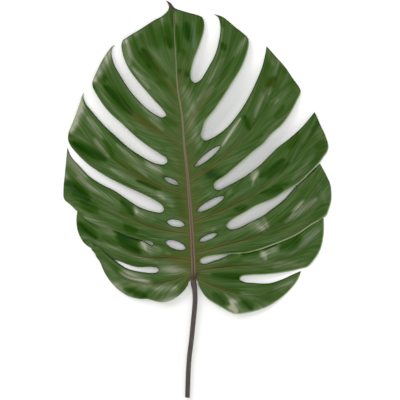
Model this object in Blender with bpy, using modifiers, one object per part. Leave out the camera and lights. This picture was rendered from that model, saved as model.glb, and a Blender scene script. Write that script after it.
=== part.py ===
"""A cut monstera leaf lying face up: the slit and holed blade, and its leaf stalk.

Metres, +Z up. The leaf lies on the plane Z = 0 with its drip tip towards +Y and the cut end of
its stalk towards -Y. The origin is under the middle of the whole leaf.
"""

import math

import bpy
import numpy as np
from mathutils.geometry import delaunay_2d_cdt

# Driving dimensions, in metres.
LEAF_LENGTH = 0.5166        # drip tip to the stalk's cut end
BLADE_THICKNESS = 0.0009
MIDRIB_WIDTH = 0.0068       # at the blade's base
MIDRIB_DEPTH = 0.0040       # keel under the blade's base
VEIN_WIDTH = 0.0042         # side veins at the midrib
VEIN_DEPTH = 0.0016
JOINT_HEIGHT = 0.0098       # upper face of the midrib where it meets the stalk
TIP_HEIGHT = 0.0016         # upper face at the drip tip
ARCH_HEIGHT = 0.0150        # how far the midrib bows up between the two
SHOULDER_RISE = 0.0060      # the blade rises beside the midrib, and then droops
MARGIN_DROOP = 1.16         # fall to the margin, as a share of the midrib's height
LEFT_HALF_WIDTH = 0.158     # midrib to the widest margin
RIGHT_HALF_WIDTH = 0.186
PLEAT_HEIGHT = 0.0030       # bulge of the blade between a side vein and the next slit
PLEAT_SINK = 0.35           # share of the bulge that veins and slit edges lie below the plain form
APEX_FOLD = 0.045           # the undivided apex is pleated this wide
EDGE_STEP = 0.0016          # one lobe's edge lies above the next one's
EDGE_STEP_WIDTH = 0.012     # how far from the slit that shows
LIFT_WIDTH = 0.020          # a lobe's lift starts this far in from its slits
REST_SOFTNESS = 0.0007      # where the blade runs into the surface
STALK_GAP = 0.0004
STALK_RADIUS = 0.0031       # at the cut end
KNEE_RADIUS = 0.0037        # swollen knee under the blade

# Mesh fineness, in metres.
EDGE_SPACING = 0.0095
LATTICE_SPACING = 0.0092
VEIN_SPACING = 0.0110
LINE_SPACING = 0.0040       # points of the lines that distances are measured to

# The outline is drawn on a sheet with X to the right and Y down the sheet. These are places on it.
SHEET_LENGTH = 397.2        # drip tip to cut end, in sheet units
SHEET_MIDDLE = (197.49, 198.94)
UNIT = LEAF_LENGTH / SHEET_LENGTH

# Each stretch of the outline runs from one sharp tip to the next: down a lobe's margin, round its
# blunt corner, in along a slit, round the slit's inner end and out to the next lobe's tip.
# They follow each other from the drip tip down the left side and up the right side.
APEX_LEFT = [
    (165.8, 0.3), (168.9, 4.0), (167.6, 10.6), (161.8, 16.3), (154.6, 20.1), (141.3, 28.6), (126.5, 37.9),
    (122.3, 41.3), (121.5, 46.9), (124.3, 58.9), (129.2, 69.4), (136.8, 80.1), (148.4, 93.9), (157.3, 103.8),
    (163.5, 110.8), (166.2, 115.6), (162.7, 117.9), (156.9, 115.8), (146.6, 108.7), (136.8, 98.8),
    (129.2, 89.5), (120.7, 76.1), (114.5, 64.9), (111.6, 53.4), (113.3, 46.0),
]
LEFT_1 = [
    (113.3, 46.0), (108.2, 51.2), (101.1, 62.3), (95.7, 73.9), (92.9, 80.5), (92.6, 86.0), (95.3, 92.2),
    (104.6, 106.5), (112.5, 115.4), (123.2, 124.7), (133.9, 135.0), (147.3, 145.7), (160.3, 154.2),
    (166.3, 158.3), (167.6, 161.8), (164.3, 164.5), (155.8, 163.6), (142.4, 156.9), (129.0, 147.9),
    (115.6, 135.9), (103.6, 124.7), (91.3, 110.5), (85.4, 102.9), (82.6, 95.0),
]
LEFT_2 = [
    (82.6, 95.0), (80.1, 102.3), (75.2, 115.9), (69.6, 129.3), (67.9, 137.5), (69.3, 143.8), (75.6, 152.1),
    (87.7, 163.8), (97.9, 171.0), (109.1, 177.7), (125.6, 186.1), (141.3, 193.2), (154.6, 199.9),
    (161.5, 204.5), (164.2, 209.0), (161.8, 212.2), (152.4, 211.3), (139.0, 206.6), (127.9, 199.5),
    (114.5, 190.5), (104.6, 185.7), (91.3, 177.7), (80.5, 167.0), (71.2, 156.7), (67.3, 147.5),
]
LEFT_3 = [
    (67.3, 147.5), (66.3, 156.7), (64.9, 172.3), (63.3, 190.2), (64.0, 199.0), (68.9, 203.6), (76.6, 208.2),
    (86.8, 217.6), (98.0, 222.8), (111.9, 227.0), (127.9, 233.2), (141.0, 237.8), (148.0, 240.0),
    (153.2, 242.6), (152.6, 245.6), (145.8, 243.6), (139.1, 240.6), (127.4, 234.5), (111.4, 228.4),
    (97.4, 224.2), (86.0, 218.9), (75.9, 210.6),
]
LEFT_4 = [
    (75.9, 210.6), (76.3, 220.4), (79.4, 231.6), (84.2, 242.0), (87.4, 246.0), (89.6, 246.2), (90.3, 243.2),
    (92.4, 241.9), (97.4, 245.3), (103.0, 250.3), (110.8, 257.2), (119.0, 260.5), (125.7, 263.6),
    (132.4, 265.9), (139.1, 267.1), (152.5, 266.9), (158.0, 268.2), (158.2, 271.2), (154.7, 272.7),
    (141.3, 271.8), (127.9, 268.7), (115.0, 262.0), (110.1, 258.6), (102.1, 251.6), (96.7, 246.7),
    (91.9, 243.6),
]
LEFT_5 = [
    (91.9, 243.6), (93.2, 248.8), (96.2, 252.9), (98.9, 258.8), (104.7, 273.1), (112.7, 284.3),
    (121.2, 291.8), (129.4, 296.4), (139.6, 298.8), (147.8, 298.8), (154.0, 300.6), (162.5, 302.0), (172.3, 299.6),
    (182.1, 292.4), (187.6, 285.4), (189.0, 281.4), (190.8, 279.4),
]
RIGHT_6 = [
    (196.0, 279.4), (197.8, 281.2), (198.8, 285.4), (202.7, 292.4), (207.2, 298.2), (221.6, 307.3),
    (233.9, 313.4), (246.1, 313.0), (260.2, 309.6), (271.3, 304.7), (284.6, 295.4), (293.6, 286.0),
    (298.5, 278.8), (301.2, 271.0),
]
RIGHT_5 = [
    (301.2, 271.0), (296.7, 272.8), (291.3, 275.2), (284.6, 278.4), (271.3, 282.9), (262.3, 283.5),
    (253.4, 282.9), (244.5, 282.0), (239.8, 279.4), (241.8, 276.5), (248.9, 275.3), (266.8, 274.4),
    (286.9, 271.9), (299.4, 269.2), (307.4, 267.0), (313.7, 260.6), (320.6, 249.1), (323.5, 235.9),
    (324.1, 224.4), (324.6, 217.3),
]
RIGHT_4 = [
    (324.6, 217.3), (321.9, 218.9), (313.3, 223.3), (304.9, 229.0), (296.3, 234.7), (287.6, 238.8),
    (278.9, 242.2), (261.7, 248.7), (248.9, 252.0), (236.0, 254.0), (226.5, 256.0), (219.6, 258.9),
    (213.0, 260.9), (205.3, 263.5), (200.9, 263.0), (200.7, 260.2), (205.3, 257.4), (213.0, 255.8),
    (225.2, 254.3), (235.7, 252.4), (248.7, 250.4), (261.3, 247.1), (278.4, 240.7), (287.0, 237.3),
    (295.6, 233.2), (304.2, 227.6), (312.7, 221.9), (321.4, 217.4), (326.9, 212.6), (331.5, 200.3),
    (330.4, 184.3), (327.5, 177.4), (320.6, 163.9),
]
RIGHT_3 = [
    (320.6, 163.9), (314.0, 170.3), (308.3, 175.9), (302.8, 181.2), (294.8, 188.6), (284.4, 199.8),
    (273.0, 208.4), (261.5, 216.4), (248.0, 222.9), (239.6, 227.3), (230.2, 229.2), (226.9, 226.6),
    (229.4, 222.2), (234.6, 218.4), (245.8, 212.1), (254.3, 206.8), (273.0, 198.6), (285.6, 190.6),
    (293.1, 186.0), (301.6, 180.0), (307.1, 174.5), (312.8, 168.8), (319.2, 161.9), (323.5, 156.2),
    (327.7, 150.6), (328.4, 145.6), (325.2, 134.9), (321.8, 127.5), (314.7, 112.0),
]
RIGHT_2 = [
    (314.7, 112.0), (303.0, 126.0), (290.0, 138.0), (277.0, 148.1), (260.0, 165.0), (252.5, 170.9),
    (243.6, 177.1), (225.7, 187.0), (218.5, 190.2), (214.3, 187.6), (215.3, 183.2), (225.7, 175.8),
    (241.3, 162.4), (254.7, 150.8), (262.6, 144.7), (271.2, 134.9), (281.3, 125.6), (290.2, 113.6),
    (296.9, 101.1), (300.9, 91.8), (299.4, 87.4), (292.9, 78.3), (285.5, 67.3), (276.9, 57.5), (266.6, 46.0),
]
RIGHT_1 = [
    (266.6, 46.0), (265.3, 54.0), (262.1, 66.9), (255.4, 83.4), (248.0, 98.5), (240.0, 111.5), (228.8, 125.8),
    (221.3, 132.5), (211.4, 138.8), (204.5, 140.7), (201.4, 137.4), (202.9, 130.0), (205.2, 122.7),
    (214.1, 111.1), (222.1, 99.5), (231.5, 84.7), (240.4, 70.0), (245.2, 58.8), (248.6, 46.0), (247.9, 38.4),
    (242.5, 32.8), (233.6, 25.6), (222.4, 16.7), (213.5, 13.8),
]
APEX_RIGHT = [
    (213.5, 13.8), (218.2, 17.4), (220.4, 27.0), (218.8, 41.3), (214.8, 55.5), (209.0, 66.7), (204.6, 74.5),
    (200.5, 80.5), (195.2, 83.3), (191.4, 80.4), (191.0, 73.5), (193.8, 61.3), (199.2, 47.0), (203.7, 32.3),
    (204.3, 24.0), (202.2, 17.4), (196.0, 14.6), (186.7, 12.0), (178.0, 9.4), (173.2, 6.0), (165.8, 0.3),
]
BEFORE_JOINT = [APEX_LEFT, LEFT_1, LEFT_2, LEFT_3, LEFT_4, LEFT_5]
AFTER_JOINT = [RIGHT_6, RIGHT_5, RIGHT_4, RIGHT_3, RIGHT_2, RIGHT_1, APEX_RIGHT]

# The small holes beside the midrib: two ends and the width, in sheet units.
HOLES = [
    ((164.5, 178.0), (178.8, 184.5), 4.5), ((167.5, 221.5), (184.6, 224.8), 7.0),
    ((166.0, 241.5), (185.6, 248.2), 8.0), ((195.0, 166.8), (220.0, 146.5), 6.0),
    ((197.2, 211.3), (224.0, 196.5), 7.0), ((199.5, 241.0), (217.0, 233.5), 5.0),
]

# Midrib from the stalk to the drip tip.
MIDRIB = [
    (193.4, 279.4), (193.3, 265.0), (192.0, 235.0), (190.0, 205.0), (187.5, 175.0), (184.3, 145.0),
    (182.0, 115.0), (177.5, 87.0), (176.0, 60.0), (174.6, 36.0), (173.6, 14.0),
]

# Side veins, from the midrib outward, one to a lobe, counted from the drip tip.
LEFT_VEINS = [
    [(179.5, 98.0), (166.0, 79.0), (152.0, 58.0), (143.0, 36.0)],
    [(184.0, 146.5), (158.0, 131.4), (131.3, 112.2), (112.0, 87.0), (101.0, 68.0)],
    [(188.6, 194.6), (165.8, 188.3), (138.6, 176.7), (108.0, 157.0), (82.0, 134.0), (73.0, 125.0)],
    [(191.3, 233.6), (161.3, 229.4), (134.1, 220.4), (106.0, 207.0), (80.0, 192.0), (67.0, 183.0)],
    [(192.9, 260.4), (172.3, 258.0), (143.6, 257.0), (115.0, 247.0), (92.0, 236.0), (82.0, 228.0)],
    [(193.3, 271.6), (176.8, 278.6), (150.0, 284.4), (127.0, 281.0), (110.0, 268.0)],
]
RIGHT_VEINS = [
    [(179.0, 91.0), (184.0, 66.0), (189.0, 44.0), (192.0, 20.0)],
    [(183.6, 133.0), (197.0, 111.0), (214.0, 84.0), (229.0, 56.0), (235.0, 36.0)],
    [(188.2, 181.0), (207.9, 169.1), (239.1, 143.7), (264.0, 113.0), (282.0, 80.0)],
    [(191.2, 222.4), (223.5, 209.5), (261.5, 189.5), (290.2, 165.9), (312.0, 136.0)],
    [(192.9, 253.2), (225.7, 244.6), (261.5, 234.8), (299.9, 217.6), (323.0, 196.0)],
    [(193.3, 270.8), (230.8, 266.0), (262.3, 265.0), (292.0, 257.0), (312.0, 243.0)],
    [(193.4, 276.6), (210.4, 284.4), (233.4, 293.1), (258.0, 297.0), (280.0, 289.0)],
]

# Borders between lobes: each runs from the midrib to a slit's inner end and out along the slit.
LEFT_BORDERS = [
    [(181.6, 126.0), (165.4, 115.0), (150.0, 99.0), (132.0, 81.0), (119.0, 60.0), (117.0, 45.0)],
    [(186.5, 168.0), (166.6, 161.3), (145.0, 151.5), (122.0, 132.0), (98.0, 109.0), (86.5, 91.0)],
    [(190.4, 213.0), (163.4, 209.6), (139.5, 200.0), (112.0, 184.5), (89.0, 170.0), (67.0, 147.0)],
    [(192.4, 248.0), (152.8, 244.0), (127.6, 233.8), (97.7, 223.5), (75.6, 209.4)],
    [(193.2, 266.8), (158.4, 269.6), (137.0, 269.2), (112.0, 259.0), (91.0, 242.4)],
    [(193.4, 279.4), (186.0, 300.0), (176.0, 330.0)],
]
RIGHT_BORDERS = [
    [(180.0, 103.0), (192.8, 82.5), (203.0, 62.0), (211.8, 35.0), (209.0, 14.0)],
    [(186.0, 158.0), (203.0, 139.6), (224.0, 115.0), (248.0, 79.0), (257.0, 40.0)],
    [(190.4, 203.0), (215.6, 188.6), (236.0, 173.0), (264.0, 152.0), (292.0, 124.0), (308.0, 100.0)],
    [(192.2, 239.0), (227.8, 227.0), (257.0, 211.5), (287.0, 193.0), (313.3, 169.5), (326.0, 156.0)],
    [(193.3, 264.6), (201.0, 261.6), (226.0, 255.2), (261.5, 247.9), (296.0, 234.0), (326.0, 215.0)],
    [(193.4, 274.4), (240.0, 279.2), (271.0, 278.8), (301.0, 269.8)],
    [(193.4, 279.4), (201.0, 300.0), (212.0, 330.0)],
]

# How far each lobe's end lifts off the surface, in metres, from the drip tip down.
LEFT_LIFTS = [0.0010, -0.0010, 0.0030, 0.0000, 0.0025, 0.0015]
RIGHT_LIFTS = [0.0020, 0.0000, -0.0045, 0.0030, 0.0005, 0.0030, 0.0005]
# Which side of each border lies higher where the slit closes: 1 is the lobe nearer the drip tip.
LEFT_STEPS = [0.3, 0.3, -0.4, 1.0, -1.0, 0.0]
RIGHT_STEPS = [0.4, 0.3, 0.5, 1.0, 1.0, 1.0, 0.0]

# Stalk, from the joint to the cut end.
STALK_PATH = [
    (193.4, 279.4), (193.4, 281.4), (194.4, 287.4), (195.1, 299.0), (194.4, 310.0), (193.4, 320.0),
    (191.4, 340.0), (189.3, 357.0), (188.2, 374.0), (187.4, 397.5),
]
STALK_STATIONS = 24
STALK_SIDES = 20
STALK_GROOVES = 5
STALK_GROOVE_DEPTH = 0.07   # share of the radius
KNEE_CENTRE = 0.0065
KNEE_SPREAD = 0.0048

WIDEST_SHARE = 0.42         # how far up the midrib the blade is widest
TAPER_SHARE = 0.62          # and how far from there it would narrow to nothing
RIB_TAPER = 0.72            # share of its width that a rib loses towards its end
EDGE_CLEARANCE = 0.0012     # ribs stop this far from the blade's edge
MIDRIB_ROWS = (-1.0, -0.55, 0.0, 0.55, 1.0)
VEIN_ROWS = (-1.0, 0.0, 1.0)


def place(points):
    """Sheet places to metres, with +Y towards the drip tip."""
    points = np.asarray(points, dtype=float)
    return (points - SHEET_MIDDLE) * (UNIT, -UNIT)


def smooth_curve(points, spacing, bend=math.radians(24)):
    """Centripetal Catmull-Rom curve, with more points where it bends more."""
    points = np.asarray(points, dtype=float)
    ends = np.vstack([2 * points[0] - points[1], points, 2 * points[-1] - points[-2]])
    curve = []
    for p0, p1, p2, p3 in zip(ends, ends[1:], ends[2:], ends[3:]):
        knots = [math.sqrt(np.linalg.norm(b - a)) for a, b in ((p0, p1), (p1, p2), (p2, p3))]
        start = (p1 - p0) / knots[0] - (p2 - p0) / (knots[0] + knots[1]) + (p2 - p1) / knots[1]
        stop = (p2 - p1) / knots[1] - (p3 - p1) / (knots[1] + knots[2]) + (p3 - p2) / knots[2]
        start, stop = start * knots[1], stop * knots[1]
        turn = np.dot(start, stop) / (np.linalg.norm(start) * np.linalg.norm(stop))
        turn = math.acos(max(-1.0, min(1.0, turn)))
        steps = max(1, math.ceil(np.linalg.norm(p2 - p1) / spacing), math.ceil(turn / bend))
        t = np.linspace(0, 1, steps, endpoint=False)[:, None]
        curve.append((2 * t**3 - 3 * t**2 + 1) * p1 + (t**3 - 2 * t**2 + t) * start
                     + (3 * t**2 - 2 * t**3) * p2 + (t**3 - t**2) * stop)
    curve.append(points[-1:])
    return np.vstack(curve)


def measure(points, line):
    """Distance to a line of points, signed by side, and how far along the line its foot is."""
    starts, runs = line[:-1], np.diff(line, axis=0)
    lengths = np.linalg.norm(runs, axis=1)
    offsets = points[:, None, :] - starts[None, :, :]
    share = np.clip((offsets * runs).sum(axis=2) / lengths**2, 0, 1)
    gaps = offsets - share[:, :, None] * runs
    distances = np.linalg.norm(gaps, axis=2)
    near = distances.argmin(axis=1)
    pick = np.arange(len(points))
    side = np.sign(runs[near, 0] * offsets[pick, near, 1] - runs[near, 1] * offsets[pick, near, 0])
    along = np.concatenate([[0], np.cumsum(lengths)])[near] + share[pick, near] * lengths[near]
    return distances[pick, near] * side, along


def inside(points, loop):
    """True where a point lies inside a closed loop."""
    a, b = loop, np.roll(loop, -1, axis=0)
    x, y = points[:, 0:1], points[:, 1:2]
    crosses = (a[:, 1] > y) != (b[:, 1] > y)
    rise = np.where(b[:, 1] == a[:, 1], 1.0, b[:, 1] - a[:, 1])
    hits = crosses & (x < (b[:, 0] - a[:, 0]) * (y - a[:, 1]) / rise + a[:, 0])
    return hits.sum(axis=1) % 2 == 1


def ease(value):
    """Smooth step from 0 to 1."""
    value = np.clip(value, 0, 1)
    return value * value * (3 - 2 * value)


def settle(height, softness):
    """Heights below zero become flat rest, with a soft run into it."""
    soft = (height + softness) ** 2 / (4 * softness)
    return np.where(height > softness, height, np.where(height < -softness, 0, soft))


def leaf_lines():
    """Midrib, veins and borders as smooth lines in metres. The left side's sign is -1."""
    halves = (
        (-1, LEFT_VEINS, LEFT_BORDERS, LEFT_LIFTS, LEFT_STEPS),
        (1, RIGHT_VEINS, RIGHT_BORDERS, RIGHT_LIFTS, RIGHT_STEPS),
    )
    sides = []
    for sign, veins, borders, lifts, steps in halves:
        veins = [smooth_curve(place(vein), LINE_SPACING) for vein in veins]
        borders = [smooth_curve(place(border), LINE_SPACING) for border in borders]
        sides.append((sign, veins, borders, lifts, steps))
    return smooth_curve(place(MIDRIB), LINE_SPACING), sides


def length_of(line):
    return np.linalg.norm(np.diff(line, axis=0), axis=1).sum()


def rib_sizes(along, length, width, depth):
    """Half width and depth of a rib that tapers from its root to its end."""
    share = np.clip(along / length, 0, 1)
    return width / 2 * (1 - RIB_TAPER * share), depth * (1 - share) ** 0.8


def leaf_form(points, lines):
    """Height of the upper face, and the blade's thickness, at plan points."""
    midrib, sides = lines
    across, along = measure(points, midrib)
    share = np.clip(along / length_of(midrib), 0, 1)
    half_width = np.where(across > 0, LEFT_HALF_WIDTH, RIGHT_HALF_WIDTH)
    reach = np.abs(across) / (half_width * np.sqrt(1 - ((share - WIDEST_SHARE) / TAPER_SHARE) ** 2))
    rib = JOINT_HEIGHT * (1 - share) + TIP_HEIGHT * share + ARCH_HEIGHT * np.sin(math.pi * share)
    height = rib + SHOULDER_RISE * np.sin(math.pi * np.clip(reach, 0, 1)) * ease(4 * share * (1 - share))
    height -= MARGIN_DROOP * rib * reach**2
    keel = np.zeros(len(points))
    for sign, veins, borders, lifts, steps in sides:
        here = (across < 0) if sign > 0 else (across >= 0)
        spots = points[here]
        edges = [measure(spots, border)[0] * sign for border in borders]
        ribs = [measure(spots, vein) for vein in veins]
        lobe = np.minimum(sum((edge < 0).astype(int) for edge in edges), len(veins) - 1)
        pick = np.arange(len(spots))
        vein_gap = np.array([rib_gap for rib_gap, _ in ribs])[lobe, pick]
        vein_along = np.array([rib_along for _, rib_along in ribs])[lobe, pick]
        edge_gaps = np.abs(np.array(edges))
        upper = edge_gaps[np.maximum(lobe - 1, 0), pick]
        lower = edge_gaps[lobe, pick]
        tipward = vein_gap * sign > 0
        edge_gap = np.where(tipward & (lobe > 0), upper, np.where(tipward, APEX_FOLD, lower))
        fold = np.abs(vein_gap) / (np.abs(vein_gap) + edge_gap + 1e-6)
        spread = ease(reach[here] / 0.35)
        rise = PLEAT_HEIGHT * spread * (np.sin(math.pi * fold**0.8) - PLEAT_SINK)
        rise += np.array(lifts)[lobe] * reach[here] ** 2 * ease(edge_gap / LIFT_WIDTH)
        for edge, step in zip(edges, steps):
            closed = step * np.sign(edge) * ease(reach[here] / 0.6 - 0.35)
            rise += EDGE_STEP * closed * np.exp(-((edge / EDGE_STEP_WIDTH) ** 2))
        height[here] += rise
        for vein, (gap, run) in zip(veins, ribs):
            half, depth = rib_sizes(run, length_of(vein), VEIN_WIDTH, VEIN_DEPTH)
            profile = np.sqrt(np.clip(1 - (gap / half) ** 2, 0, 1))
            keel[here] = np.maximum(keel[here], depth * profile)
    half, depth = rib_sizes(along, length_of(midrib), MIDRIB_WIDTH, MIDRIB_DEPTH)
    profile = np.sqrt(np.clip(1 - (across / half) ** 2, 0, 1))
    keel = np.maximum(keel, depth * profile)
    height = settle(height - BLADE_THICKNESS, REST_SOFTNESS) + BLADE_THICKNESS
    return height, np.minimum(BLADE_THICKNESS + keel, height)


def rib_rows(line, width, rows):
    """Rows of points along a rib, at shares of its half width from its crest."""
    run = np.diff(line, axis=0)
    lengths = np.concatenate([[0], np.cumsum(np.linalg.norm(run, axis=1))])
    stations = np.linspace(0, lengths[-1], max(3, round(lengths[-1] / VEIN_SPACING)))
    centre = np.column_stack([np.interp(stations, lengths, line[:, axis]) for axis in (0, 1)])
    heading = np.gradient(centre, axis=0)
    heading /= np.linalg.norm(heading, axis=1)[:, None]
    normal = np.column_stack([-heading[:, 1], heading[:, 0]])
    half, _ = rib_sizes(stations, lengths[-1], width, 0)
    return [centre + normal * (half * row)[:, None] for row in rows]


def hole_loop(start, stop, width):
    """Long hole with rather pointed ends."""
    start, stop = place([start, stop])
    middle, half = (start + stop) / 2, (stop - start) / 2
    side = np.array([-half[1], half[0]]) / np.linalg.norm(half) * width * UNIT / 2
    turns = np.linspace(0, 2 * math.pi, 18, endpoint=False)
    bulge = np.sin(turns) * np.abs(np.sin(turns)) ** 0.25
    return middle + np.cos(turns)[:, None] * half + bulge[:, None] * side


def outline_loop(joint_row):
    """The closed outline of the blade, with the midrib's end face at the joint."""
    parts = [smooth_curve(place(stretch), EDGE_SPACING)[:-1] for stretch in BEFORE_JOINT]
    parts.append(joint_row)
    parts += [smooth_curve(place(stretch), EDGE_SPACING)[:-1] for stretch in AFTER_JOINT]
    return np.vstack(parts)


def blade_plan(lines):
    """Plan points, faces and constrained edges of the blade, with its ribs in it."""
    midrib, sides = lines
    ribs = rib_rows(midrib, MIDRIB_WIDTH, MIDRIB_ROWS)
    joint_y = ribs[0][0][1]
    joint_row = np.array(sorted((row[0][0], joint_y) for row in ribs))
    loops = [outline_loop(joint_row[:-1])]
    loops += [hole_loop(*hole) for hole in HOLES]
    rows = [row[1:] for row in ribs]
    for _, veins, _, _, _ in sides:
        for vein in veins:
            rows += [row[1:] for row in rib_rows(vein, VEIN_WIDTH, VEIN_ROWS)]
    points, edges = [], []
    for loop in loops:
        first = len(points)
        points += list(loop)
        edges += [(first + i, first + (i + 1) % len(loop)) for i in range(len(loop))]
    walls = np.vstack([np.vstack([loop, loop[:1]]) for loop in loops])
    for row in rows:
        clear = blade_contains(row, loops) & (wall_distance(row, loops) > EDGE_CLEARANCE)
        last = None
        for spot, is_clear in zip(row, clear):
            last = add_spot(points, edges, spot, last) if is_clear else None
    low, high = walls.min(axis=0), walls.max(axis=0)
    xs = np.arange(low[0], high[0], LATTICE_SPACING)
    ys = np.arange(low[1], high[1], LATTICE_SPACING * math.sqrt(3) / 2)
    lattice = np.array([(x + (i % 2) * LATTICE_SPACING / 2, y) for i, y in enumerate(ys) for x in xs])
    lattice = lattice[blade_contains(lattice, loops)]
    lattice = lattice[wall_distance(lattice, loops) > 0.45 * LATTICE_SPACING]
    for row in rows:
        lattice = lattice[np.abs(measure(lattice, row)[0]) > 0.42 * LATTICE_SPACING]
    points += list(lattice)
    flat, _, faces, _, _, _ = delaunay_2d_cdt([tuple(p) for p in points], edges, [], 0, 1e-6)
    flat = np.array([tuple(p) for p in flat])
    middles = np.array([flat[list(face)].mean(axis=0) for face in faces])
    kept = blade_contains(middles, loops)
    return flat, [face for face, keep in zip(faces, kept) if keep]


def add_spot(points, edges, spot, last):
    """Adds a rib's point, joined to the one before it, and returns its number."""
    points.append(spot)
    if last is not None:
        edges.append((last, len(points) - 1))
    return len(points) - 1


def blade_contains(points, loops):
    """True inside the outline and outside its holes."""
    result = inside(points, loops[0])
    for loop in loops[1:]:
        result &= ~inside(points, loop)
    return result


def wall_distance(points, loops):
    """Distance to the nearest edge of the blade."""
    gaps = [np.abs(measure(points, np.vstack([loop, loop[:1]]))[0]) for loop in loops]
    return np.min(gaps, axis=0)


def make_material(name, colour, roughness):
    material = bpy.data.materials.new(name)
    material.use_nodes = True
    shader = material.node_tree.nodes["Principled BSDF"]
    shader.inputs["Base Color"].default_value = (*colour, 1.0)
    shader.inputs["Roughness"].default_value = roughness
    shader.inputs["Metallic"].default_value = 0.0
    return material


def make_blade(collection, lines):
    """The upper face as an open sheet, thickened downward, more so along its ribs."""
    plan, faces = blade_plan(lines)
    height, thickness = leaf_form(plan, lines)
    mesh = bpy.data.meshes.new("leaf_blade")
    mesh.from_pydata(np.column_stack([plan, height]).tolist(), [], faces)
    mesh.validate()
    blade = bpy.data.objects.new("leaf_blade", mesh)
    collection.objects.link(blade)
    deepest = BLADE_THICKNESS + MIDRIB_DEPTH
    thinnest = BLADE_THICKNESS / deepest
    group = blade.vertex_groups.new(name="thickness")
    for index, value in enumerate(thickness):
        weight = (value / deepest - thinnest) / (1 - thinnest)
        group.add([index], min(1.0, max(0.0, float(weight))), "REPLACE")
    solid = blade.modifiers.new("thickness", "SOLIDIFY")
    solid.thickness = deepest
    solid.offset = -1.0
    solid.vertex_group = group.name
    solid.thickness_vertex_group = thinnest
    solid.use_rim = True
    mesh.shade_smooth()
    blade.data.materials.append(make_material("leaf_green", (0.055, 0.13, 0.035), 0.42))
    return blade


def stalk_profile(collection):
    """Cross-section of the stalk: round, with shallow grooves, for a radius of 1."""
    curve = bpy.data.curves.new("stalk_profile", "CURVE")
    curve.dimensions = "2D"
    spline = curve.splines.new("POLY")
    spline.points.add(STALK_SIDES - 1)
    for index, point in enumerate(spline.points):
        turn = -2 * math.pi * index / STALK_SIDES
        radius = 1 - STALK_GROOVE_DEPTH * (0.5 + 0.5 * math.sin(STALK_GROOVES * turn))
        point.co = (radius * math.cos(turn), radius * math.sin(turn), 0, 1)
    spline.use_cyclic_u = True
    profile = bpy.data.objects.new("stalk_profile", curve)
    profile.hide_render = True
    profile.display_type = "WIRE"
    collection.objects.link(profile)
    return profile


def stalk_radius(distance, length):
    """Radius along the stalk: the knee, then an even taper to the cut end."""
    plain = STALK_RADIUS * (1.04 - 0.04 * distance / length)
    return plain + (KNEE_RADIUS - STALK_RADIUS) * math.exp(-((distance - KNEE_CENTRE) / KNEE_SPREAD) ** 2)


def make_stalk(collection, guides):
    """Stalk as a swept profile, from under the midrib's end to the cut end on the surface."""
    path = smooth_curve(place(STALK_PATH), 0.003)
    path[:, 1] -= STALK_GAP * np.exp(-np.arange(len(path)) / 4.0)
    runs = np.concatenate([[0], np.cumsum(np.linalg.norm(np.diff(path, axis=0), axis=1))])
    stations = runs[-1] * np.linspace(0, 1, STALK_STATIONS) ** 1.4
    start = JOINT_HEIGHT - KNEE_RADIUS
    curve = bpy.data.curves.new("petiole", "CURVE")
    curve.dimensions = "3D"
    curve.twist_mode = "Z_UP"
    curve.bevel_mode = "OBJECT"
    curve.bevel_object = stalk_profile(guides)
    curve.use_fill_caps = True
    spline = curve.splines.new("POLY")
    spline.points.add(STALK_STATIONS - 1)
    for point, station in zip(spline.points, stations):
        radius = stalk_radius(station, runs[-1])
        height = STALK_RADIUS + (start - STALK_RADIUS) * (1 - ease(station / runs[-1]))
        x, y = (float(np.interp(station, runs, path[:, axis])) for axis in (0, 1))
        point.co = (x, y, float(height), 1)
        point.radius = radius
    stalk = bpy.data.objects.new("petiole", curve)
    collection.objects.link(stalk)
    curve.materials.append(make_material("petiole_brown", (0.055, 0.04, 0.034), 0.55))
    return stalk


def main():
    for item in list(bpy.data.objects):
        bpy.data.objects.remove(item, do_unlink=True)
    leaf = bpy.data.collections.new("monstera_leaf")
    guides = bpy.data.collections.new("guides")
    for collection in (leaf, guides):
        bpy.context.scene.collection.children.link(collection)
    lines = leaf_lines()
    make_blade(leaf, lines)
    make_stalk(leaf, guides)


main()
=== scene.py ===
"""A cut monstera leaf lying face up on a pale surface, seen from straight above.

Metres, +Z up. The leaf lies on the plane Z = 0 with its drip tip towards +Y and the cut end of
its stalk towards -Y. The outline, the veins and the form are those of the solid blade, drawn
finer, with the small relief and the colours of a fresh leaf added. Its sheen comes partly from
the lights and is partly painted into the green, with painted shade in folds and grooves and
painted shadow and highlights along the rims.
"""

import math
from types import SimpleNamespace

import bpy
import numpy as np
from mathutils.geometry import delaunay_2d_cdt
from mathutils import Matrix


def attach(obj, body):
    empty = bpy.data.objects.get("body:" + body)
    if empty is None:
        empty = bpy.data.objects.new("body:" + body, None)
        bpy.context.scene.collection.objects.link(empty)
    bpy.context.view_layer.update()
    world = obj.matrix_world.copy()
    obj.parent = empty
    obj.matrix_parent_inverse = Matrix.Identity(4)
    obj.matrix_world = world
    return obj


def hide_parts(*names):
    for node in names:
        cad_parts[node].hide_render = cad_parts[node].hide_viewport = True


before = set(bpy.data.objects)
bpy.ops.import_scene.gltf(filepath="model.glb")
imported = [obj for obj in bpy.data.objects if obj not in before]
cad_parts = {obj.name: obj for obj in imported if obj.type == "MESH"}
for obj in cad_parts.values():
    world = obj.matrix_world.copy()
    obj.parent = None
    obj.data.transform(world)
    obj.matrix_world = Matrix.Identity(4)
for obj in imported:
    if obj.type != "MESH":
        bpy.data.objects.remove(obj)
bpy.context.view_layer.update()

# Form of the leaf, in metres, as in the solids.
LEAF_LENGTH = 0.5166        # drip tip to the stalk's cut end
BLADE_THICKNESS = 0.0009
MIDRIB_WIDTH = 0.0068       # at the blade's base
MIDRIB_DEPTH = 0.004        # keel under the blade's base
VEIN_WIDTH = 0.0042         # side veins at the midrib
VEIN_DEPTH = 0.0016
JOINT_HEIGHT = 0.0098       # upper face of the midrib where it meets the stalk
TIP_HEIGHT = 0.0016         # upper face at the drip tip
ARCH_HEIGHT = 0.015         # how far the midrib bows up between the two
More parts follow.
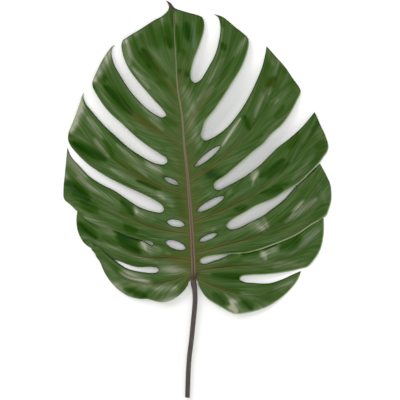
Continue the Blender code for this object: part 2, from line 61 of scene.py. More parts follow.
SHOULDER_RISE = 0.006       # the blade rises beside the midrib, and then droops
MARGIN_DROOP = 1.16         # fall to the margin, as a share of the midrib's height
LEFT_HALF_WIDTH = 0.158     # midrib to the widest margin
RIGHT_HALF_WIDTH = 0.186
PLEAT_HEIGHT = 0.003        # bulge of the blade between a side vein and the next slit
PLEAT_SINK = 0.35           # share of the bulge that veins and slit edges lie below the plain form
PLEAT_START = 0.35          # share of the way to the margin where the bulge is full
PLEAT_LEAN = 0.8            # below 1 the bulge's top lies nearer the vein
APEX_FOLD = 0.045           # the undivided apex is pleated this wide
EDGE_STEP = 0.0016          # one lobe's edge lies above the next one's
EDGE_STEP_WIDTH = 0.012     # how far from the slit that shows
STEP_RUN = 0.6              # share of the way to the margin over which that comes in
STEP_DELAY = 0.35           # after this share of that run
LIFT_WIDTH = 0.02           # a lobe's lift starts this far in from its slits
REST_SOFTNESS = 0.0007      # where the blade runs into the surface
STALK_GAP = 0.0004
STALK_RADIUS = 0.0031       # at the cut end
KNEE_RADIUS = 0.0037        # swollen knee under the blade

# Small relief, in metres.
EDGE_THICKNESS = 0.0005     # the blade thins towards its margin
EDGE_THINNING = 0.006       # over this width
CREST_HEIGHT = 0.0005       # the midrib stands this proud of the upper face
CREST_GROOVE = 0.0004       # groove along its middle
CREST_GROOVE_WIDTH = 0.3    # this and the next three as shares of the band's half width
CREST_TOP = 0.6
CREST_FLANK = 0.6
FURROW_START = 0.8          # the side veins' furrows start this far from the midrib's middle
MIDRIB_BASE_HALF = 0.0026   # half width of the raised band at the base, beyond that at the tip
MIDRIB_TIP_HALF = 0.0004
MIDRIB_NARROWING = 1.3      # 1 would make it narrower evenly, more makes it narrow early
VEIN_FURROW = 0.0003        # side veins are sunk this deep in the upper face
VEIN_FURROW_WIDTH = 0.0011
RIPPLE_HEIGHT = 0.00022     # gentle waves along the lobes
RIPPLES = 2.6               # waves from a vein to the next slit
RIPPLE_SWAY = 2.5           # how far they wander sideways, as an angle in radians
RIPPLE_SWAY_RUN = 0.031     # run of the lobe for a radian of that
RIPPLE_SHIFT = 1.7          # the same angle's step from one lobe to the next
RIPPLE_VEIN_FADE = 0.2      # shares of the way from a vein and from the midrib where they fade
RIPPLE_MIDRIB_FADE = 0.3
VEIN_EXTENSION = 0.035      # past its end a vein's fold runs on this far
LAP_WIDTH = 0.0065          # beside a closed slit the blade is moved over this width
LAP_START = 0.18
MARGIN_ROLL = 0.0004        # the margin rolls under a little
MARGIN_ROLL_WIDTH = 0.002

# Mesh fineness, in metres.
EDGE_SPACING = 0.002
LATTICE_SPACING = 0.002
VEIN_SPACING = 0.0028
LINE_SPACING = 0.004        # points of the lines that distances are measured to
LATTICE_EDGE_GAP = 0.5      # least distances from edges and ribs, in lattice spacings
LATTICE_RIB_GAP = 0.4
STALK_SPACING = 0.003
HOLE_SIDES = 48
HOLE_POINT = 0.25           # 0 would make ellipses, and more makes the ends sharper
SHARP_ANGLE = 50            # edges sharper than this stay sharp, in degrees
MILLIMETRE = 0.001
TINY = 1e-6
BATCH = 500                 # points measured at a time
EDGE_REACH = 0.014          # distances to the edge are right up to this one

# The outline is drawn on a sheet with X to the right and Y down the sheet. These are places on it.
SHEET_LENGTH = 397.2        # drip tip to cut end, in sheet units
SHEET_MIDDLE = (197.49, 198.94)
UNIT = LEAF_LENGTH / SHEET_LENGTH

# Each stretch of the outline runs from one sharp tip to the next: down a lobe's margin, round its
# blunt corner, in along a slit, round the slit's inner end and out to the next lobe's tip.
# They follow each other from the drip tip down the left side and up the right side.
APEX_LEFT = [
    (165.8, 0.3), (168, 3.6), (169, 6.4), (168.5, 9), (166.8, 11.8), (161.8, 16.3), (154.6, 20.1),
    (141.3, 28.6), (126.5, 37.9), (122.3, 41.3), (121.5, 46.9), (124.3, 58.9), (129.2, 69.4),
    (136.8, 80.1), (148.4, 93.9), (157.3, 103.8), (163.5, 110.8), (166.2, 115.6), (162.7, 117.9),
    (156.9, 115.8), (146.6, 108.7), (136.8, 98.8), (129.2, 89.5), (120.7, 76.1), (114.5, 64.9),
    (111.6, 53.4), (112.8, 47.8), (115, 44.7),
]
LEFT_1 = [
    (115, 44.7), (112.2, 46.2), (108.2, 51.2), (101.1, 62.3), (95.7, 73.9), (92.9, 80.5), (92.6, 86),
    (95.3, 92.2), (104.6, 106.5), (112.5, 115.4), (123.2, 124.7), (133.9, 135), (147.3, 145.7),
    (160.3, 154.2), (166.3, 158.3), (167.6, 161.8), (164.3, 164.5), (155.8, 163.6), (142.4, 156.9),
    (129, 147.9), (115.6, 135.9), (103.6, 124.7), (91.3, 110.5), (85.4, 102.9), (83.5, 96.4),
    (83.9, 92),
]
LEFT_2 = [
    (83.9, 92), (82.2, 95.2), (80.1, 102.3), (75.2, 115.9), (69.6, 129.3), (67.9, 137.5), (69.3, 143.8),
    (75.6, 152.1), (87.7, 163.8), (97.9, 171), (109.1, 177.7), (125.6, 186.1), (141.3, 193.2),
    (154.6, 199.9), (161.5, 204.5), (164.2, 209), (161.8, 212.2), (152.4, 211.3), (139, 206.6),
    (127.9, 199.5), (114.5, 190.5), (104.6, 185.7), (91.3, 177.7), (80.5, 167), (71.2, 156.7),
    (67.3, 147.5),
]
LEFT_3 = [
    (67.3, 147.5), (66.3, 156.7), (64.9, 172.3), (63.3, 190.2), (64, 199), (68.9, 203.6), (76.6, 208.2),
    (86.8, 217.6), (98, 222.8), (111.9, 227), (127.9, 233.2), (141, 237.8), (148, 240), (153.2, 242.6),
    (152.6, 245.6), (145.8, 243.6), (139.1, 240.6), (127.4, 234.5), (111.4, 228.4), (97.4, 224.2),
    (86, 218.9), (75.9, 210.6),
]
LEFT_4 = [
    (75.9, 210.6), (76.2, 220.4), (77.3, 229.7), (79.3, 235.2), (81.6, 239.8), (84.2, 243.4),
    (87.6, 247), (90.6, 249.1), (92.5, 250), (92.5, 248.6), (91.4, 245.4), (91, 243), (92.4, 241.9),
    (97.4, 245.3), (103, 250.3), (110.8, 257.2), (119, 260.5), (125.7, 263.6), (132.4, 265.9),
    (139.1, 267.1), (152.5, 266.9), (158, 268.2), (158.2, 271.2), (154.7, 272.7), (141.3, 271.8),
    (127.9, 268.7), (115, 262), (110.1, 258.6), (102.1, 251.6), (96.7, 246.7), (91.9, 243.6),
]
LEFT_5 = [
    (91.9, 243.6), (93.4, 248.8), (96.6, 253), (98.9, 258.8), (104.7, 273.1), (112.7, 284.3),
    (121.2, 291.8), (129.4, 296.4), (139.6, 298.8), (147.8, 298.8), (154, 300.6), (162.5, 302),
    (172.3, 299.6), (182.1, 292.4), (187.6, 285.4), (189, 281.4), (190.8, 279.4),
]
RIGHT_6 = [
    (196, 279.4), (197.8, 281.2), (198.8, 285.4), (202.7, 292.4), (207.2, 298.2), (221.6, 307.3),
    (233.9, 313.4), (246.1, 313), (260.2, 309.6), (271.3, 304.7), (284.6, 295.4), (293.6, 286),
    (298.5, 278.8), (301.2, 271),
]
RIGHT_5 = [
    (301.2, 271), (296.7, 272.8), (291.3, 275.2), (284.6, 278.4), (271.3, 282.9), (262.3, 283.5),
    (253.4, 282.9), (244.5, 282), (239.8, 279.4), (241.8, 276.5), (248.9, 275.3), (266.8, 274.4),
    (286.9, 271.9), (299.4, 269.2), (307.4, 267), (313.7, 260.6), (320.6, 249.1), (323.5, 235.9),
    (324.1, 224.4), (324.6, 217.3),
]
RIGHT_4 = [
    (324.6, 217.3), (321.9, 218.9), (313.3, 223.3), (304.9, 229), (296.3, 234.7), (287.6, 238.8),
    (278.9, 242.2), (261.7, 248.7), (248.9, 252), (236, 254), (226.5, 256), (219.6, 258.9),
    (213, 260.9), (205.3, 263.5), (200.9, 263), (200.7, 260.2), (205.3, 257.4), (213, 255.8),
    (225.2, 254.3), (235.7, 252.4), (248.7, 250.4), (261.3, 247.1), (278.4, 240.7), (287, 237.3),
    (295.6, 233.2), (304.2, 227.6), (312.7, 221.9), (321, 217.6), (326.6, 212.8), (329.9, 206.6),
    (331.5, 198.6), (330.4, 184.3), (327.5, 177.4), (320.6, 163.9),
]
RIGHT_3 = [
    (320.6, 163.9), (314, 170.3), (308.3, 175.9), (302.8, 181.2), (294.8, 188.6), (284.4, 199.8),
    (273, 208.4), (261.5, 216.4), (248, 222.9), (239.6, 227.3), (230.2, 229.2), (226.9, 226.6),
    (229.4, 222.2), (234.6, 218.4), (245.8, 212.1), (254.3, 206.8), (273, 198.6), (285.6, 190.6),
    (293.1, 186), (301.6, 180), (307.1, 174.5), (312.8, 168.8), (319.2, 161.9), (323.5, 156.2),
    (327.7, 150.6), (328.4, 145.6), (325.2, 134.9), (321.8, 127.5), (314.7, 112),
]
RIGHT_2 = [
    (314.7, 112), (303, 126), (290, 138), (277, 148.1), (260, 165), (252.5, 170.9), (243.6, 177.1),
    (225.7, 187), (218.5, 190.2), (214.3, 187.6), (215.3, 183.2), (225.7, 175.8), (241.3, 162.4),
    (254.7, 150.8), (262.6, 144.7), (271.2, 134.9), (281.3, 125.6), (290.2, 113.6), (296.9, 101.1),
    (300.9, 91.8), (299.4, 87.4), (292.9, 78.3), (285.5, 67.3), (276.9, 57.5), (266.6, 46),
]
RIGHT_1 = [
    (266.6, 46), (265.3, 54), (262.1, 66.9), (255.4, 83.4), (248, 98.5), (240, 111.5), (228.8, 125.8),
    (221.3, 132.5), (211.4, 138.8), (204.5, 140.7), (201.4, 137.4), (202.9, 130), (205.2, 122.7),
    (214.1, 111.1), (222.1, 99.5), (231.5, 84.7), (240.4, 70), (245.2, 58.8), (248.6, 46),
    (247.9, 38.4), (242.5, 32.8), (233.6, 25.6), (222.4, 16.7), (213.5, 13.8),
]
APEX_RIGHT = [
    (213.5, 13.8), (218.2, 17.4), (220.4, 27), (218.8, 41.3), (214.8, 55.5), (209, 66.7), (204.6, 74.5),
    (200.5, 80.5), (195.2, 83.3), (191.4, 80.4), (191, 73.5), (193.8, 61.3), (199.2, 47), (203.7, 32.3),
    (204.3, 24), (202.2, 17.4), (196, 14.6), (186.7, 12), (178.2, 9.4), (174.2, 7.6), (172, 4.7),
    (169.2, 2), (165.8, 0.3),
]
BEFORE_JOINT = [APEX_LEFT, LEFT_1, LEFT_2, LEFT_3, LEFT_4, LEFT_5]
AFTER_JOINT = [RIGHT_6, RIGHT_5, RIGHT_4, RIGHT_3, RIGHT_2, RIGHT_1, APEX_RIGHT]

# The small holes beside the midrib: two ends and the width, in sheet units.
HOLES = [
    ((164.5, 178), (178.8, 184.5), 4.5), ((167.5, 221.5), (184.6, 224.8), 7),
    ((166, 241.5), (185.6, 248.2), 8), ((195, 166.8), (220, 146.5), 6),
    ((197.2, 211.3), (224, 196.5), 7), ((199.5, 241), (217, 233.5), 5),
]

# Midrib from the stalk to the drip tip.
MIDRIB = [
    (193.4, 279.4), (193.3, 265), (192, 235), (190, 205), (187.5, 175), (184.3, 145), (182, 115),
    (177.5, 87), (176, 60), (174.6, 36), (173.6, 14),
]

# Side veins, from the midrib outward, one to a lobe, counted from the drip tip.
LEFT_VEINS = [
    [(179.5, 98), (166, 79), (152, 58), (143, 36)],
    [(184, 146.5), (158, 131.4), (131.3, 112.2), (112, 87), (101, 68)],
    [(188.6, 194.6), (165.8, 188.3), (138.6, 176.7), (108, 157), (82, 134), (73, 125)],
    [(191.3, 233.6), (161.3, 229.4), (134.1, 220.4), (106, 207), (80, 192), (67, 183)],
    [(192.9, 260.4), (172.3, 258), (143.6, 257), (115, 247), (92, 236), (82, 228)],
    [(193.3, 271.6), (176.8, 278.6), (150, 284.4), (127, 281), (110, 268)],
]
RIGHT_VEINS = [
    [(179, 91), (184, 66), (189, 44), (192, 20)],
    [(183.6, 133), (197, 111), (214, 84), (229, 56), (235, 36)],
    [(188.2, 181), (207.9, 169.1), (239.1, 143.7), (264, 113), (282, 80)],
    [(191.2, 222.4), (223.5, 209.5), (261.5, 189.5), (290.2, 165.9), (312, 136)],
    [(192.9, 253.2), (225.7, 244.6), (261.5, 234.8), (299.9, 217.6), (323, 196)],
    [(193.3, 270.8), (230.8, 266), (262.3, 265), (292, 257), (312, 243)],
    [(193.4, 276.6), (210.4, 284.4), (233.4, 293.1), (258, 297), (280, 289)],
]

# Borders between lobes: each runs from the midrib to a slit's inner end and out along the slit.
LEFT_BORDERS = [
    [(181.6, 126), (165.4, 115), (150, 99), (132, 81), (119, 60), (117, 45)],
    [(186.5, 168), (166.6, 161.3), (145, 151.5), (122, 132), (98, 109), (86.5, 91)],
    [(190.4, 213), (163.4, 209.6), (139.5, 200), (112, 184.5), (89, 170), (67, 147)],
    [(192.4, 248), (152.8, 244), (127.6, 233.8), (111.7, 227.7), (97.7, 223.5), (86.4, 218.3),
     (75.6, 209.4)],
    [(193.2, 266.8), (158.4, 269.6), (137, 269.2), (112, 259), (93, 243.6), (91.6, 243.8), (93, 249.8),
     (96, 256)],
    [(193.4, 279.4), (186, 300), (176, 330)],
]
RIGHT_BORDERS = [
    [(180, 103), (192.8, 82.5), (203, 62), (211.8, 35), (209, 14)],
    [(186, 158), (203, 139.6), (224, 115), (248, 79), (257, 40)],
    [(190.4, 203), (215.6, 188.6), (236, 173), (264, 152), (292, 124), (308, 100)],
    [(192.2, 239), (227.8, 227), (257, 211.5), (287, 193), (313.3, 169.5), (326, 156)],
    [(193.3, 264.6), (201, 261.6), (226, 255.2), (261.5, 247.9), (287.3, 238.1), (296, 234),
     (304.5, 228.3), (313, 222.6), (326, 215)],
    [(193.4, 274.4), (240, 279.2), (271, 278.8), (301, 269.8)],
    [(193.4, 279.4), (201, 300), (212, 330)],
]

# How far each lobe's end lifts off the surface, in metres, from the drip tip down.
LEFT_LIFTS = [0.001, -0.001, 0.003, 0, 0.0025, 0.0015]
RIGHT_LIFTS = [0.002, 0, -0.0045, 0.003, 0.0005, 0.003, 0.0005]
# Which side of each border lies higher where the slit closes: 1 is the lobe nearer the drip tip.
LEFT_STEPS = [0.3, 0.3, -0.4, 1, -1, 0]
RIGHT_STEPS = [0.4, 0.3, 0.5, 1, 1, 1, 0]
# Slits whose edges close over each other: how far each edge reaches past the slit's middle, in
# millimetres, and the share of the way to the margin where that starts.
LEFT_LAPS = [(0, 1), (0, 1), (0, 1), (2.8, 0.3), (2.6, 0.66), (0, 1)]
RIGHT_LAPS = [(0, 1), (0, 1), (0, 1), (1.1, 0.45), (2.6, 0.24), (0, 1), (0, 1)]
# How brown each vein is.
LEFT_INKS = [0.15, 0.5, 0.85, 1, 0.8, 0.45]
RIGHT_INKS = [0.15, 0.4, 0.75, 1, 1, 0.95, 0.65]

# Stalk, from the joint to the cut end.
STALK_PATH = [
    (193.4, 279.4), (193.4, 281.4), (194.4, 287.4), (195.1, 299), (194.4, 310), (193.4, 320),
    (191.4, 340), (189.3, 357), (188.2, 374), (187.4, 397.5),
]
STALK_STATIONS = 120
STALK_SIDES = 60
STALK_GROOVES = 5
STALK_GROOVE_DEPTH = 0.07   # share of the radius
KNEE_CENTRE = 0.0065
KNEE_SPREAD = 0.0048
STALK_RIBS = 24             # fine ribs between the grooves
STALK_RIB_DEPTH = 0.02
STALK_RIB_TURN = 0.7
STALK_TAPER = 0.04          # share that the knee's end is thicker than the cut end
STALK_CROWDING = 1.4        # the stations are closer together towards the knee
STALK_GAP_FADE = 4          # path points over which the gap to the blade closes
KNEE_END = 0.6              # radius of the end faces, as a share of the rings beside them
CUT_END = 0.86
KNEE_WRINKLE = 0.0017       # spacing of the wrinkles round the knee
KNEE_WRINKLE_DEPTH = 0.018

WIDEST_SHARE = 0.42         # how far up the midrib the blade is widest
TAPER_SHARE = 0.62          # and how far from there it would narrow to nothing
RIB_TAPER = 0.72            # share of its width that a rib loses towards its end
RIB_SINK = 0.8              # 1 would make its keel shallower evenly, less makes it stay deep longer
EDGE_CLEARANCE = 0.0012     # ribs stop this far from the blade's edge
MIDRIB_ROWS = (-1.0, -0.78, -0.5, -0.22, 0.0, 0.22, 0.5, 0.78, 1.0)
VEIN_ROWS = (-1.0, -0.45, 0.0, 0.45, 1.0)

# Puckers of the blade at the ends of slits and holes: place, height and radius, in metres.
PUCKERS = [
    ((135.7, 208.8), 0.0011, 0.005), ((141, 246.5), 0.0012, 0.0055), ((167, 252), 0.0008, 0.004),
    ((255, 176), 0.0012, 0.006), ((229, 192), 0.0008, 0.0045), ((265, 223), 0.0012, 0.0055),
    ((262, 255), 0.001, 0.0045), ((241, 256), 0.0007, 0.0035), ((234, 306), 0.0012, 0.006),
    ((150, 281), -0.001, 0.009), ((212, 284), -0.0008, 0.008),
]

# Strokes of deeper and paler green along the lobes, the paler ones painted sheen and the deeper ones
# painted shade: X and Y of both ends and the width on the sheet, and the tone.
SHEEN_AND_SHADE_STROKES = [
    # Undivided apex, left of the midrib.
    (167, 2, 173, 8, 2.5, -0.45), (170.8, 9, 173.2, 27, 1.4, -0.4), (161, 17, 163.5, 26, 2.2, 0.3),
    (175.4, 12, 176, 22, 1.3, 0.3), (150, 28, 158, 46, 7, -0.24), (164, 24, 171, 46, 6, -0.34),
    (148, 66, 166, 84, 5, -0.16), (177, 26, 179, 52, 2.4, -0.36), (165.5, 38, 170, 48, 3, -0.25),
    (126, 42, 130, 64, 4.4, 0.34), (133, 68, 149, 88, 3.2, 0.3), (134, 44, 140, 58, 3, -0.12),
    (140, 53, 150, 68, 3.2, -0.26), (143, 50, 166, 77, 3.6, -0.55), (150, 48, 171, 76, 4.2, 0.12),
    (150, 78, 165, 97, 3, 0.1), (158, 83, 175, 90, 4, -0.16), (166, 103, 174, 112, 3.5, -0.1),
    (121, 43, 140, 31, 3.4, 0.34),
    # First lobe on the left.
    (113, 47, 94.5, 80, 5.4, 0.6), (103.5, 76, 105, 82, 2.6, -0.35), (113.5, 64, 136, 94, 3, 0.04),
    (144, 106, 160, 120, 4.4, 0.24), (106, 87, 132, 114, 4.8, -0.54), (133, 115, 158, 131, 2.8, -0.22),
    (97, 92, 134, 131, 3, 0.22), (138, 136, 160, 149, 3.4, 0.16), (150, 119, 163, 130, 2.6, 0.22),
    (165, 119, 176, 126, 4, -0.26), (168, 150, 178, 166, 4, 0.14),
    # Second lobe on the left.
    (83.5, 93, 71, 130, 6, 0.84), (88, 118, 102, 138, 3.6, 0.26), (74, 143, 105, 159.5, 5.2, -0.54),
    (95.5, 139, 109, 157, 3, 0.42), (105, 141, 114, 155, 2.6, -0.24), (118, 145, 147, 176, 3.4, 0.26),
    (110, 134, 124, 146, 3, -0.2), (138, 181, 160, 189, 3, -0.55), (121, 164, 145, 180, 2.6, -0.14),
    (112, 169, 164, 198, 2.8, 0.28), (159, 192, 173, 207, 4.8, 0.28), (177, 190, 184, 216, 5, -0.14),
    (147, 162, 161, 174, 5.2, 0.38),
    # Third lobe on the left.
    (67, 152, 86, 176, 6.4, 0.42), (66, 172, 66, 180, 2.6, 0.3), (65, 156, 64, 170, 2.6, 0.24),
    (68, 183, 88, 199, 6, -0.54), (82, 202, 97, 209, 4, -0.34), (78, 178, 118, 211, 4.2, 0.32),
    (94, 194, 118, 212, 2.6, -0.14), (122, 201, 133, 214, 3.4, -0.46), (137, 212, 154, 219, 5, 0.3),
    (125, 226, 137, 231, 3, -0.34), (100, 212, 122, 222, 2.6, 0.2),
    # Fourth lobe on the left.
    (79, 224, 96, 237, 4.4, -0.46), (86, 216, 114, 234, 4.4, 0.38), (119, 238, 139, 252, 5.4, -0.54),
    (140, 245, 160, 250, 4.4, 0.26), (113, 231.6, 140, 241.8, 1.5, -0.9),
    (100, 243, 157, 262.5, 3.4, 0.22), (103, 236, 117, 246, 2.6, -0.16), (82, 236, 98, 242, 3.6, 0.24),
    # Fifth lobe on the left.
    (160, 266, 188, 272, 6, 0.36), (150, 304, 184, 298, 5, 0.42), (122, 273, 150, 284, 7, 0.54),
    (110, 282, 134, 298, 4, 0.22), (147, 285, 164, 283, 2.2, -0.3), (125, 289, 146, 296, 3.8, -0.5),
    (155, 288, 176, 288, 5.6, 0.34), (104, 262, 116, 276, 4, 0.12), (128, 299, 158, 303, 3.4, 0.26),
    (162, 302, 184, 292, 3.8, 0.22),
    # Undivided apex, right of the midrib.
    (186, 24, 189, 40, 4.4, -0.44), (193, 22, 194.6, 49, 2.2, 0.2), (201, 20, 199, 34, 3, -0.16),
    (197, 40, 191, 66, 2.6, 0.14), (183, 50, 187, 60, 2.6, -0.24), (179, 71, 189, 76, 3.6, -0.42),
    (184, 89, 194, 112, 6.4, 0.34),
    # First lobe on the right.
    (216, 14, 223, 26, 3, -0.32), (222, 44, 225, 50, 3.2, -0.42), (246, 38, 234, 56, 3, 0.3),
    (223, 59, 209, 83, 2.8, 0.26), (213, 87, 198, 101, 2.8, 0.24), (229, 62, 220, 78, 2.4, -0.12),
    (198, 109, 212, 117, 3.6, -0.06), (188, 115, 200, 147, 7, 0.3),
    # Second lobe on the right.
    (268, 50, 273, 64, 3.8, 0.26), (281, 67, 285, 73, 3.4, -0.24), (267, 86, 275, 78, 4.2, -0.36),
    (262, 94, 255, 117, 3.2, 0.3), (271.5, 87, 268, 95, 1, 0.34), (274, 104, 279, 99, 1, 0.3),
    (244, 117, 249, 129, 3.4, -0.44), (240, 119, 222, 146, 1.6, 0.55), (283, 106, 275, 118, 3.4, -0.22),
    (296, 86, 299, 92, 2.6, 0.12), (205, 171, 222, 180, 5, -0.48), (200, 186, 213, 196, 4, 0.12),
    (262, 136, 246, 150, 3, -0.16), (205, 162, 220, 156, 3.4, -0.14),
    # Third lobe on the right.
    (260, 177, 283, 160, 3.6, -0.46), (268, 178, 289, 163, 2.6, -0.26), (289, 148, 297, 135, 4, -0.24),
    (316, 124, 320, 138, 3.6, 0.06), (303, 143, 310, 131, 2.6, 0.2), (261, 193, 281, 189, 3.4, -0.42),
    (272, 186.5, 287, 184, 2.2, -0.26), (235, 209, 245, 206, 3.4, -0.46), (206, 213, 224, 204, 4, -0.1),
    (242, 201, 258, 195, 3, -0.14), (292, 180, 314, 156, 3, 0.22), (316, 148, 322, 140, 4, -0.2),
    # Fourth lobe on the right.
    (247, 221, 263, 230, 5.6, 0.3), (286, 221, 316, 199, 3.8, 0.36), (292, 211, 304, 200, 1.6, 0.38),
    (284, 238, 312, 222, 3, 0.14), (300, 186, 313, 174, 4.6, 0.22), (205, 232, 222, 226, 4, 0.06),
    (318, 184, 325, 200, 3.6, 0.12), (278, 222, 298, 210, 2.4, -0.2),
    # Fifth lobe on the right.
    (281, 248, 300, 239, 5.4, -0.4), (243, 260, 296, 264, 3, 0.18), (274, 268, 306, 263, 2.6, 0.24),
    (300, 246, 318, 230, 5, 0.24), (241, 255.8, 277, 245.8, 1.4, -0.9), (272, 250, 292, 240, 2.2, 0.18),
    (270, 258, 300, 250, 2.4, 0.14),
    # Sixth lobe on the right.
    (213, 274, 240, 277, 4, -0.34), (220, 286, 240, 293, 4, -0.12), (214, 294, 228, 304, 4, -0.46),
    (243, 302, 252, 308, 3.6, -0.4), (240, 293, 254, 298, 2.4, 0.24), (275, 290, 292, 282, 5, 0.2),
    (226, 306, 250, 313, 3.6, 0.34), (250, 313, 276, 302, 3.4, 0.34), (258, 300, 268, 303, 3, 0.1),
]

# Painted highlights on the creases where the blade puckers, written in the same way.
CREASE_HIGHLIGHTS = [
    (135, 206, 137, 213, 2.4, 0.42), (141, 242, 145.5, 249, 2.6, 0.36),
    (166, 252.5, 171, 254, 1.6, 0.3), (252, 179, 257, 172, 4.2, 0.52),
    (227, 193.5, 231.5, 189, 1.8, 0.34), (261.5, 214, 268.5, 228, 2, 0.3),
    (255, 219, 265, 229, 5, 0.18), (261, 252, 265.5, 258.5, 3.4, 0.58),
    (239, 254.5, 243.5, 255.2, 1.8, 0.4), (222, 259.5, 226, 258, 1.8, 0.24),
    (231.5, 302, 236, 311.5, 5, 0.4), (227.5, 301, 238, 300.5, 3, 0.26), (240, 119, 222, 146, 1.2, 0.2),
    (211, 232, 215, 228, 1.6, 0.18),
]

# Fans of painted highlight rays that run from such a crease along the lobe: the crease's ends, the run of
# the middle ray, the angle between the outer rays, their number, width and tone.
HIGHLIGHT_FANS = [
    ((262, 251.5), (267, 258), (15, -10), 18, 8, 1.5, 0.14),
    ((253, 180), (258, 173), (-4, 9), 30, 5, 0.9, 0.18),
    ((265, 218), (270, 228), (-12, 4), 24, 8, 2, 0.04),
    ((229, 299), (237, 303), (-3, -11), 34, 5, 1.2, 0.16),
    ((135, 208), (138, 214), (11, 4.5), 24, 4, 1.2, 0.12),
    ((141, 243), (146, 250), (10, 6), 24, 4, 1.2, 0.14),
    ((292, 213), (288, 219), (15, -15), 18, 5, 0.9, 0.2),
    ((262, 99), (266, 104), (13, -12), 26, 4, 0.9, 0.18),
    ((150, 50), (155, 62), (14, 15), 10, 5, 1.3, 0.14),
]

# Painted shade in the wrinkles where the midrib bends down into the stalk, and where the drip tip is
# folded.
PAINTED_FOLD_SHADES = [
    (199, 271, 196.6, 275, 1.5, 0.9), (196.6, 275, 193.4, 280, 1.6, 1),
    (190.4, 275, 192, 279.4, 1, 0.55), (166, 0, 172.6, 8, 3, 0.95), (172.6, 9, 173.6, 26, 1, 0.5),
]

# Where the green turns yellow, above zero, or blue, below zero; the blue is partly the leaf's own bluer
# green and partly a bluish painted sheen.
TINTS = [
    (172, 258, 190, 262, 6, 0.8), (161, 255, 180, 259, 4, 0.55), (160, 66, 144, 52, 5, 0.3),
    (133, 115, 160, 133, 5, 0.65), (120, 160, 145, 178, 5, 0.4), (196, 255, 215, 250, 7, 0.4),
    (265, 88, 280, 80, 7, 0.35), (276, 236, 316, 219, 5, 0.35), (184, 24, 192, 46, 8, -0.6),
    (285, 110, 262, 136, 5, -0.2), (278, 252, 316, 236, 10, -0.25), (150, 205, 160, 214, 7, -0.2),
    (255, 196, 285, 190, 8, -0.25), (84, 150, 110, 166, 7, -0.15),
]

# Noises of the green: bumps across each lobe and for each metre along it, seed and detail.
STREAKS = (9.0, 14.0, 3.0, 2.0)
VEINLETS = (27.0, 26.0, 7.0, 1.0)
MOTTLE = (3.0, 22.0, 11.0, 4.0)
FEATHER = 110.0             # how far the fine veins lean away from the side veins
RIGHT_PLACE = 20            # keeps the noises of the right side apart from those of the left
STROKE_EDGING = (1.2, 0.4)  # how much the streaks break up the strokes, and what they leave
CREASE_EDGING = (0.3, 0.85)
STROKE_TAPER = 0.75         # how much narrower a stroke is at its ends
RAY_TAPER = 0.3             # how much shorter a fan's outer rays are

# Colours, as linear light.
# Greens of the upper face from deep to pale: the deep end is the leaf's own green, and the grey-green and
# pale stops are painted sheen.
UPPER_GREENS = [
    (0, (0.005, 0.034, 0.001)), (0.2, (0.015, 0.052, 0.001)), (0.38, (0.032, 0.077, 0.009)),
    (0.52, (0.055, 0.102, 0.026)), (0.68, (0.096, 0.14, 0.058)), (0.84, (0.18, 0.203, 0.13)),
    (1, (0.31, 0.33, 0.22)),
]
BLUE_SHIFT = (0.8, 1.02, 1.8)
LOWER_GREENS = [
    (0.05, (0.07, 0.125, 0.05)), (0.5, (0.125, 0.19, 0.09)), (0.95, (0.24, 0.29, 0.17)),
]
TINT_SHARE = 0.75           # most that the tint takes
UPPER_OLIVE = (0.078, 0.08, 0.012)
UPPER_VEIN = (0.07, 0.048, 0.016)
VEIN_EDGE = (0.15, 0.18, 0.08)
MIDRIB_COLOUR = (0.165, 0.12, 0.08)
MIDRIB_TIP_COLOUR = (0.175, 0.185, 0.105)
# Painted shade down the midrib's middle, at its base and in the wrinkles.
MIDRIB_GROOVE_SHADE = (0.06, 0.036, 0.028)
# Painted shadow and painted highlight along the blade's rims.
PAINTED_RIM_SHADOW = (0.006, 0.012, 0.003)
PAINTED_RIM_HIGHLIGHT = (0.33, 0.42, 0.21)
LOWER_OLIVE = (0.15, 0.165, 0.07)
LOWER_VEIN = (0.2, 0.165, 0.09)
STALK_COLOURS = [
    (0.1, (0.022, 0.016, 0.014)), (0.45, (0.06, 0.045, 0.038)), (0.9, (0.15, 0.12, 0.105)),
]
STALK_CUT = (0.3, 0.27, 0.18)
STALK_STREAKS = (900.0, 22.0)       # for each metre across and along the stalk
STALK_BLOTCHES = 90.0

# Coloured bands, in metres: where they start to fade, and where they end.
MIDRIB_OLIVE = (0.003, 0.026)
VEIN_OLIVE = (0.0005, 0.007)
RIM_BAND = (0.0005, 0.0019)
VEIN_LINE_HALF = (0.0007, 0.0003)   # half width of a vein's line at its root and its end

# The view, in metres: straight down on the middle of a square frame.
FRAME_SIZE = 400            # the frame's width on the sheet
FRAME_MIDDLE = (200.0, 200.0)
CAMERA_HEIGHT = 3.0
VIEW_PLANE = 0.003

# Rims that face this way, mirrored on the left side, get painted shadow, and those that face away get a
# painted highlight.
RIM_LIGHT = (-0.35, 0.94)
LEFT_PALENESS = 0.25        # share of the painted highlight kept on the left side
HOLE_RIM = 0.55             # how dark the painted shade on the rims of the holes is
JOINT_FADE_RUN = 0.012      # away from the stalk the rims' painted shadow and highlight come in over this distance
JOINT_FADE_DELAY = 0.3      # after this share of that run

# The stage: places and sizes in metres, light power in watts.
FLOOR_SIZE = 12.0
FLOOR_HEIGHT = -0.0002
FLOOR_COLOUR = (0.93, 0.93, 0.92)
SQUARE = ((-1, -1), (1, -1), (1, 1), (-1, 1))
LIGHTS = [
    ("key", (-1.9, 1.3, 2.0), 1.6, 36.0, (1.0, 0.99, 0.97)),
    ("fill", (2.0, -0.6, 2.0), 1.8, 13.0, (0.97, 0.99, 1.0)),
    ("back", (0.3, 2.3, 1.9), 1.6, 10.0, (1.0, 1.0, 1.0)),
    ("front", (-0.2, -2.4, 1.8), 1.6, 10.0, (1.0, 1.0, 1.0)),
    ("top", (0.0, 0.0, 4.0), 1.6, 74.0, (1.0, 1.0, 1.0)),
]
SURROUND = 0.25


def place(points):
    """Sheet places to metres, with +Y towards the drip tip."""
    points = np.asarray(points, dtype=float)
    return (points - SHEET_MIDDLE) * (UNIT, -UNIT)


